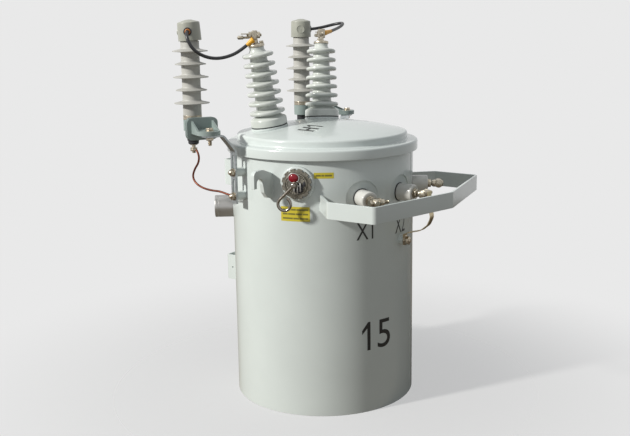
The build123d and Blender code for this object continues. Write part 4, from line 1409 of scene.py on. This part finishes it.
def stencil(mark, matrix, height, width, target, lift=PAINT_LIFT, cuts=MARK_CUTS):
    """Make a flat curve black paint, height and width in mm, centred and wrapped on a target."""
    pick(mark)
    bpy.ops.object.convert(target="MESH")
    mark = named(mark.name)
    bpy.ops.object.origin_set(type="ORIGIN_GEOMETRY", center="BOUNDS")
    mark.location = (0, 0, 0)
    mark.scale = (width * MM / mark.dimensions.x, height * MM / mark.dimensions.y, 1)
    bpy.ops.object.transform_apply(location=True, rotation=True, scale=True)
    begin_edit(mark)
    bpy.ops.mesh.remove_doubles(threshold=0.01 * MM)
    bpy.ops.mesh.quads_convert_to_tris()
    bpy.ops.mesh.subdivide(number_cuts=cuts)
    end_edit()
    wrap(put(mark, matrix), target, lift, "black_stencil_paint")


def film_patch(name, matrix, width, height, lift, finish, cuts):
    """A thin printed patch, in mm, wrapped on the tank's wall."""
    clear_selection()
    bpy.ops.mesh.primitive_plane_add(size=1)
    patch = named(name)
    patch.scale = (width * MM, height * MM, 1)
    bpy.ops.object.transform_apply(scale=True)
    begin_edit(patch)
    bpy.ops.mesh.subdivide(number_cuts=cuts)
    end_edit()
    return wrap(put(patch, matrix), bpy.data.objects["tank_wall"], lift, finish)


def make_label(name, angle, level, width, height, rows):
    """A yellow label with rows of plain dark dashes."""
    place = wall_frame(angle, TANK_RADIUS, level)
    film_patch(f"label_{name}", place, width, height, FILM_LIFT, "yellow_label_film", LABEL_CUTS)
    lines = []
    pitch = height / (rows + ROW_MARGIN)
    tall = min(DASH_HEIGHT, pitch * DASH_SHARE)
    for row in range(rows):
        rise = ((rows - 1) / 2 - row) * pitch
        left = LABEL_MARGIN - width / 2
        for share in LABEL_DASHES[row]:
            run = share * (width - 2 * LABEL_MARGIN)
            spot = place @ shift(left + run / 2, rise)
            patch = (run - DASH_GAP, tall, PRINT_LIFT, "dark_label_print", DASH_CUTS)
            lines.append(film_patch(f"line_{name}", spot, *patch))
            left += run
    own(joined(f"label_{name}_lines", lines), "tank_paint", finish="dark_label_print")


class TRANSFORMER_OT_marks(bpy.types.Operator):
    """Stencil the terminal marks and the number, and lay the two plain yellow labels."""

    bl_idname = "transformer.marks"
    bl_label = "Marks and labels"

    def execute(self, context):
        settings = context.scene.transformer
        tank = bpy.data.objects["tank_wall"]
        lid = bpy.data.objects["cover_lid"]
        size = (settings.mark_height / MM, settings.mark_width / MM)
        for text, angle in TERMINAL_MARKS.items():
            place = wall_frame(angle, TANK_RADIUS, TERMINAL_MARK_LEVEL)
            stencil(lettering(f"mark_{text}", text), place, *size, tank)
        tall = settings.number_height / MM
        one = flat_shape("mark_one", ONE_OUTLINE)
        angle, width = ONE_PLACE
        stencil(one, wall_frame(angle, TANK_RADIUS, NUMBER_LEVEL), tall, width, tank)
        five = lettering("mark_five", "5")
        angle, width = FIVE_PLACE
        stencil(five, wall_frame(angle, TANK_RADIUS, NUMBER_LEVEL), tall, width, tank)
        for name, (outline, spot, width) in COVER_MARKS.items():
            place = frame_at(spot, COVER_MARK_DIRECTION, (0, 0, 1))
            mark = flat_shape(name, outline)
            stencil(mark, place, COVER_MARK_HEIGHT, width, lid, FILM_LIFT, COVER_MARK_CUTS)
        for name, label in LABELS.items():
            make_label(name, *label)
        return {"FINISHED"}


class TRANSFORMER_OT_leads(bpy.types.Operator):
    """Lay the two arrester leads and the ground lead along their routes."""

    bl_idname = "transformer.leads"
    bl_label = "Leads"

    def execute(self, context):
        for name, route in LEAD_ROUTES.items():
            slot, diameter, length, stiffness, lay = LEADS[name]
            piece = cord_curve(name + "_cord", route, diameter / 2, *LEAD_FINENESS)
            own(piece, slot, name)
            if name in SLEEVES:
                heading = Vector(route[-1]) - Vector(route[-2])
                place = frame_at(route[-1], heading.orthogonal(), heading)
                rubber = ("amber_sleeve", "lead_sleeves")
                turned(f"sleeve_{name}", SLEEVES[name], place, *rubber, steps=48)
        return {"FINISHED"}


def set_camera(scene):
    """Camera with a small roll and shift."""
    forward = Vector(CAMERA_FORWARD).normalized()
    level = forward.cross(Vector((0, 0, 1))).normalized()
    upright = level.cross(forward)
    right = cos(CAMERA_ROLL) * level + sin(CAMERA_ROLL) * upright
    up = -sin(CAMERA_ROLL) * level + cos(CAMERA_ROLL) * upright
    lens = bpy.data.cameras.new("camera")
    lens.sensor_width = CAMERA_SENSOR
    lens.lens = CAMERA_LENS
    lens.shift_x, lens.shift_y = CAMERA_SHIFT
    turn = Matrix((right, up, -forward)).transposed().to_4x4()
    scene.camera = linked("camera", lens, Matrix.Translation(CAMERA_PLACE) @ turn)


def set_lamps(settings):
    """A distant disk that gives the shadows, and a wide weak lamp above."""
    travel = Vector(KEY_TRAVEL).normalized()
    aim = travel.to_track_quat("-Z", "Y").to_matrix().to_4x4()
    far = Matrix.Translation(Vector(KEY_TARGET) - travel * KEY_DISTANCE)
    lamp = bpy.data.lights.new("key", "AREA")
    lamp.shape = "DISK"
    lamp.size = KEY_SIZE
    lamp.energy = settings.key_power
    lamp.color = hex_colour("#FFFDF9")[:3]
    linked("key", lamp, far @ aim)
    lamp = bpy.data.lights.new("overhead", "AREA")
    lamp.size = OVERHEAD_SIZE
    lamp.energy = settings.overhead_power
    linked("overhead", lamp, Matrix.Translation((0, 0, OVERHEAD_HEIGHT)))


def set_world(scene, settings):
    """Pale surroundings where they are seen or mirrored, and a cool fill for everything else."""
    world = bpy.data.worlds.new("studio")
    world.use_nodes = True
    scene.world = world
    tree = world.node_tree
    tree.nodes.clear()
    rays = add_node(tree, "ShaderNodeLightPath").outputs
    seen = rays["Is Camera Ray"]
    for ray in ("Is Glossy Ray", "Is Transmission Ray"):
        most = {0: seen, 1: rays[ray]}
        seen = add_node(tree, "ShaderNodeMath", most, operation="MAXIMUM").outputs[0]
    cool = {"Color": hex_colour("#E8EDF2"), "Strength": settings.fill_strength}
    fill = add_node(tree, "ShaderNodeBackground", cool).outputs[0]
    pale = {"Color": hex_colour("#E9E9E9"), "Strength": 1.0}
    wall = add_node(tree, "ShaderNodeBackground", pale).outputs[0]
    both = add_node(tree, "ShaderNodeMixShader", {0: seen, 1: fill, 2: wall}).outputs[0]
    add_node(tree, "ShaderNodeOutputWorld", {"Surface": both})


def set_floor():
    """Pale round floor that keeps a soft shadow and fades into the surroundings."""
    clear_selection()
    bpy.ops.mesh.primitive_circle_add(vertices=96, radius=FLOOR_RADIUS, fill_type="NGON")
    floor = named("floor")
    material = bpy.data.materials.new("pale_floor")
    material.use_nodes = True
    tree = material.node_tree
    tree.nodes.clear()
    place = add_node(tree, "ShaderNodeTexCoord").outputs["Object"]
    reach = add_node(tree, "ShaderNodeVectorMath", {0: place}, operation="LENGTH")
    fading = {"Value": reach.outputs["Value"], "From Min": FADE_START, "From Max": FADE_END}
    least, most = FLOOR_CLEARNESS
    fading.update({"To Min": least, "To Max": most})
    fade = add_node(tree, "ShaderNodeMapRange", fading, interpolation_type="SMOOTHSTEP")
    seen = add_node(tree, "ShaderNodeLightPath").outputs["Is Camera Ray"]
    both = {0: fade.outputs["Result"], 1: seen}
    clearness = add_node(tree, "ShaderNodeMath", both, operation="MULTIPLY").outputs[0]
    # Bounced light meets the darker ground, the camera sees the paler one
    tones = {MIX_FACTOR: seen, MIX_A: hex_colour("#857C70"), MIX_B: hex_colour("#C6C6C6")}
    tone = add_node(tree, "ShaderNodeMix", tones, data_type="RGBA").outputs[MIX_COLOUR]
    paint = add_node(tree, "ShaderNodeBsdfDiffuse", {"Color": tone}).outputs[0]
    clear = add_node(tree, "ShaderNodeBsdfTransparent").outputs[0]
    blend = add_node(tree, "ShaderNodeMixShader", {0: clearness, 1: paint, 2: clear})
    add_node(tree, "ShaderNodeOutputMaterial", {"Surface": blend.outputs[0]})
    floor.data.materials.append(material)


class TRANSFORMER_OT_stage(bpy.types.Operator):
    """Set up the camera, the lamps, the world and the floor."""

    bl_idname = "transformer.stage"
    bl_label = "Stage"

    def execute(self, context):
        scene = context.scene
        set_camera(scene)
        set_lamps(scene.transformer)
        set_world(scene, scene.transformer)
        set_floor()
        scene.view_settings.view_transform = "Standard"
        return {"FINISHED"}


OPERATORS = (
    TRANSFORMER_OT_frame_finishes,
    TRANSFORMER_OT_stage,
    TRANSFORMER_OT_leads,
    TRANSFORMER_OT_tank,
    TRANSFORMER_OT_cover,
    TRANSFORMER_OT_hv_bushings,
    TRANSFORMER_OT_hv_terminals,
    TRANSFORMER_OT_arresters,
    TRANSFORMER_OT_brackets,
    TRANSFORMER_OT_straps,
    TRANSFORMER_OT_lv_side,
    TRANSFORMER_OT_plates,
    TRANSFORMER_OT_welds,
    TRANSFORMER_OT_breaker,
    TRANSFORMER_OT_tap_cap,
    TRANSFORMER_OT_marks,
)


class TRANSFORMER_PT_pieces(bpy.types.Panel):
    """The settings and the operators of the transformer's pieces."""

    bl_idname = "TRANSFORMER_PT_pieces"
    bl_label = "Transformer"
    bl_space_type = "VIEW_3D"
    bl_region_type = "UI"
    bl_category = "Transformer"

    def draw(self, context):
        settings = context.scene.transformer
        for name in TransformerSettings.__annotations__:
            self.layout.prop(settings, name)
        for kind in OPERATORS:
            self.layout.operator(kind.bl_idname)


CLASSES = (TransformerSettings, *OPERATORS, TRANSFORMER_PT_pieces)


def register():
    """Add the settings, the operators and the panel."""
    for kind in CLASSES:
        bpy.utils.register_class(kind)
    bpy.types.Scene.transformer = bpy.props.PointerProperty(type=TransformerSettings)


def unregister():
    """Take away what register added."""
    del bpy.types.Scene.transformer
    for kind in reversed(CLASSES):
        bpy.utils.unregister_class(kind)


def main():
    """Make every piece in order."""
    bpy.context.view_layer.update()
    register()
    for kind in OPERATORS:
        getattr(bpy.ops.transformer, kind.bl_idname.split(".")[1])()


if __name__ == "__main__":
    main()
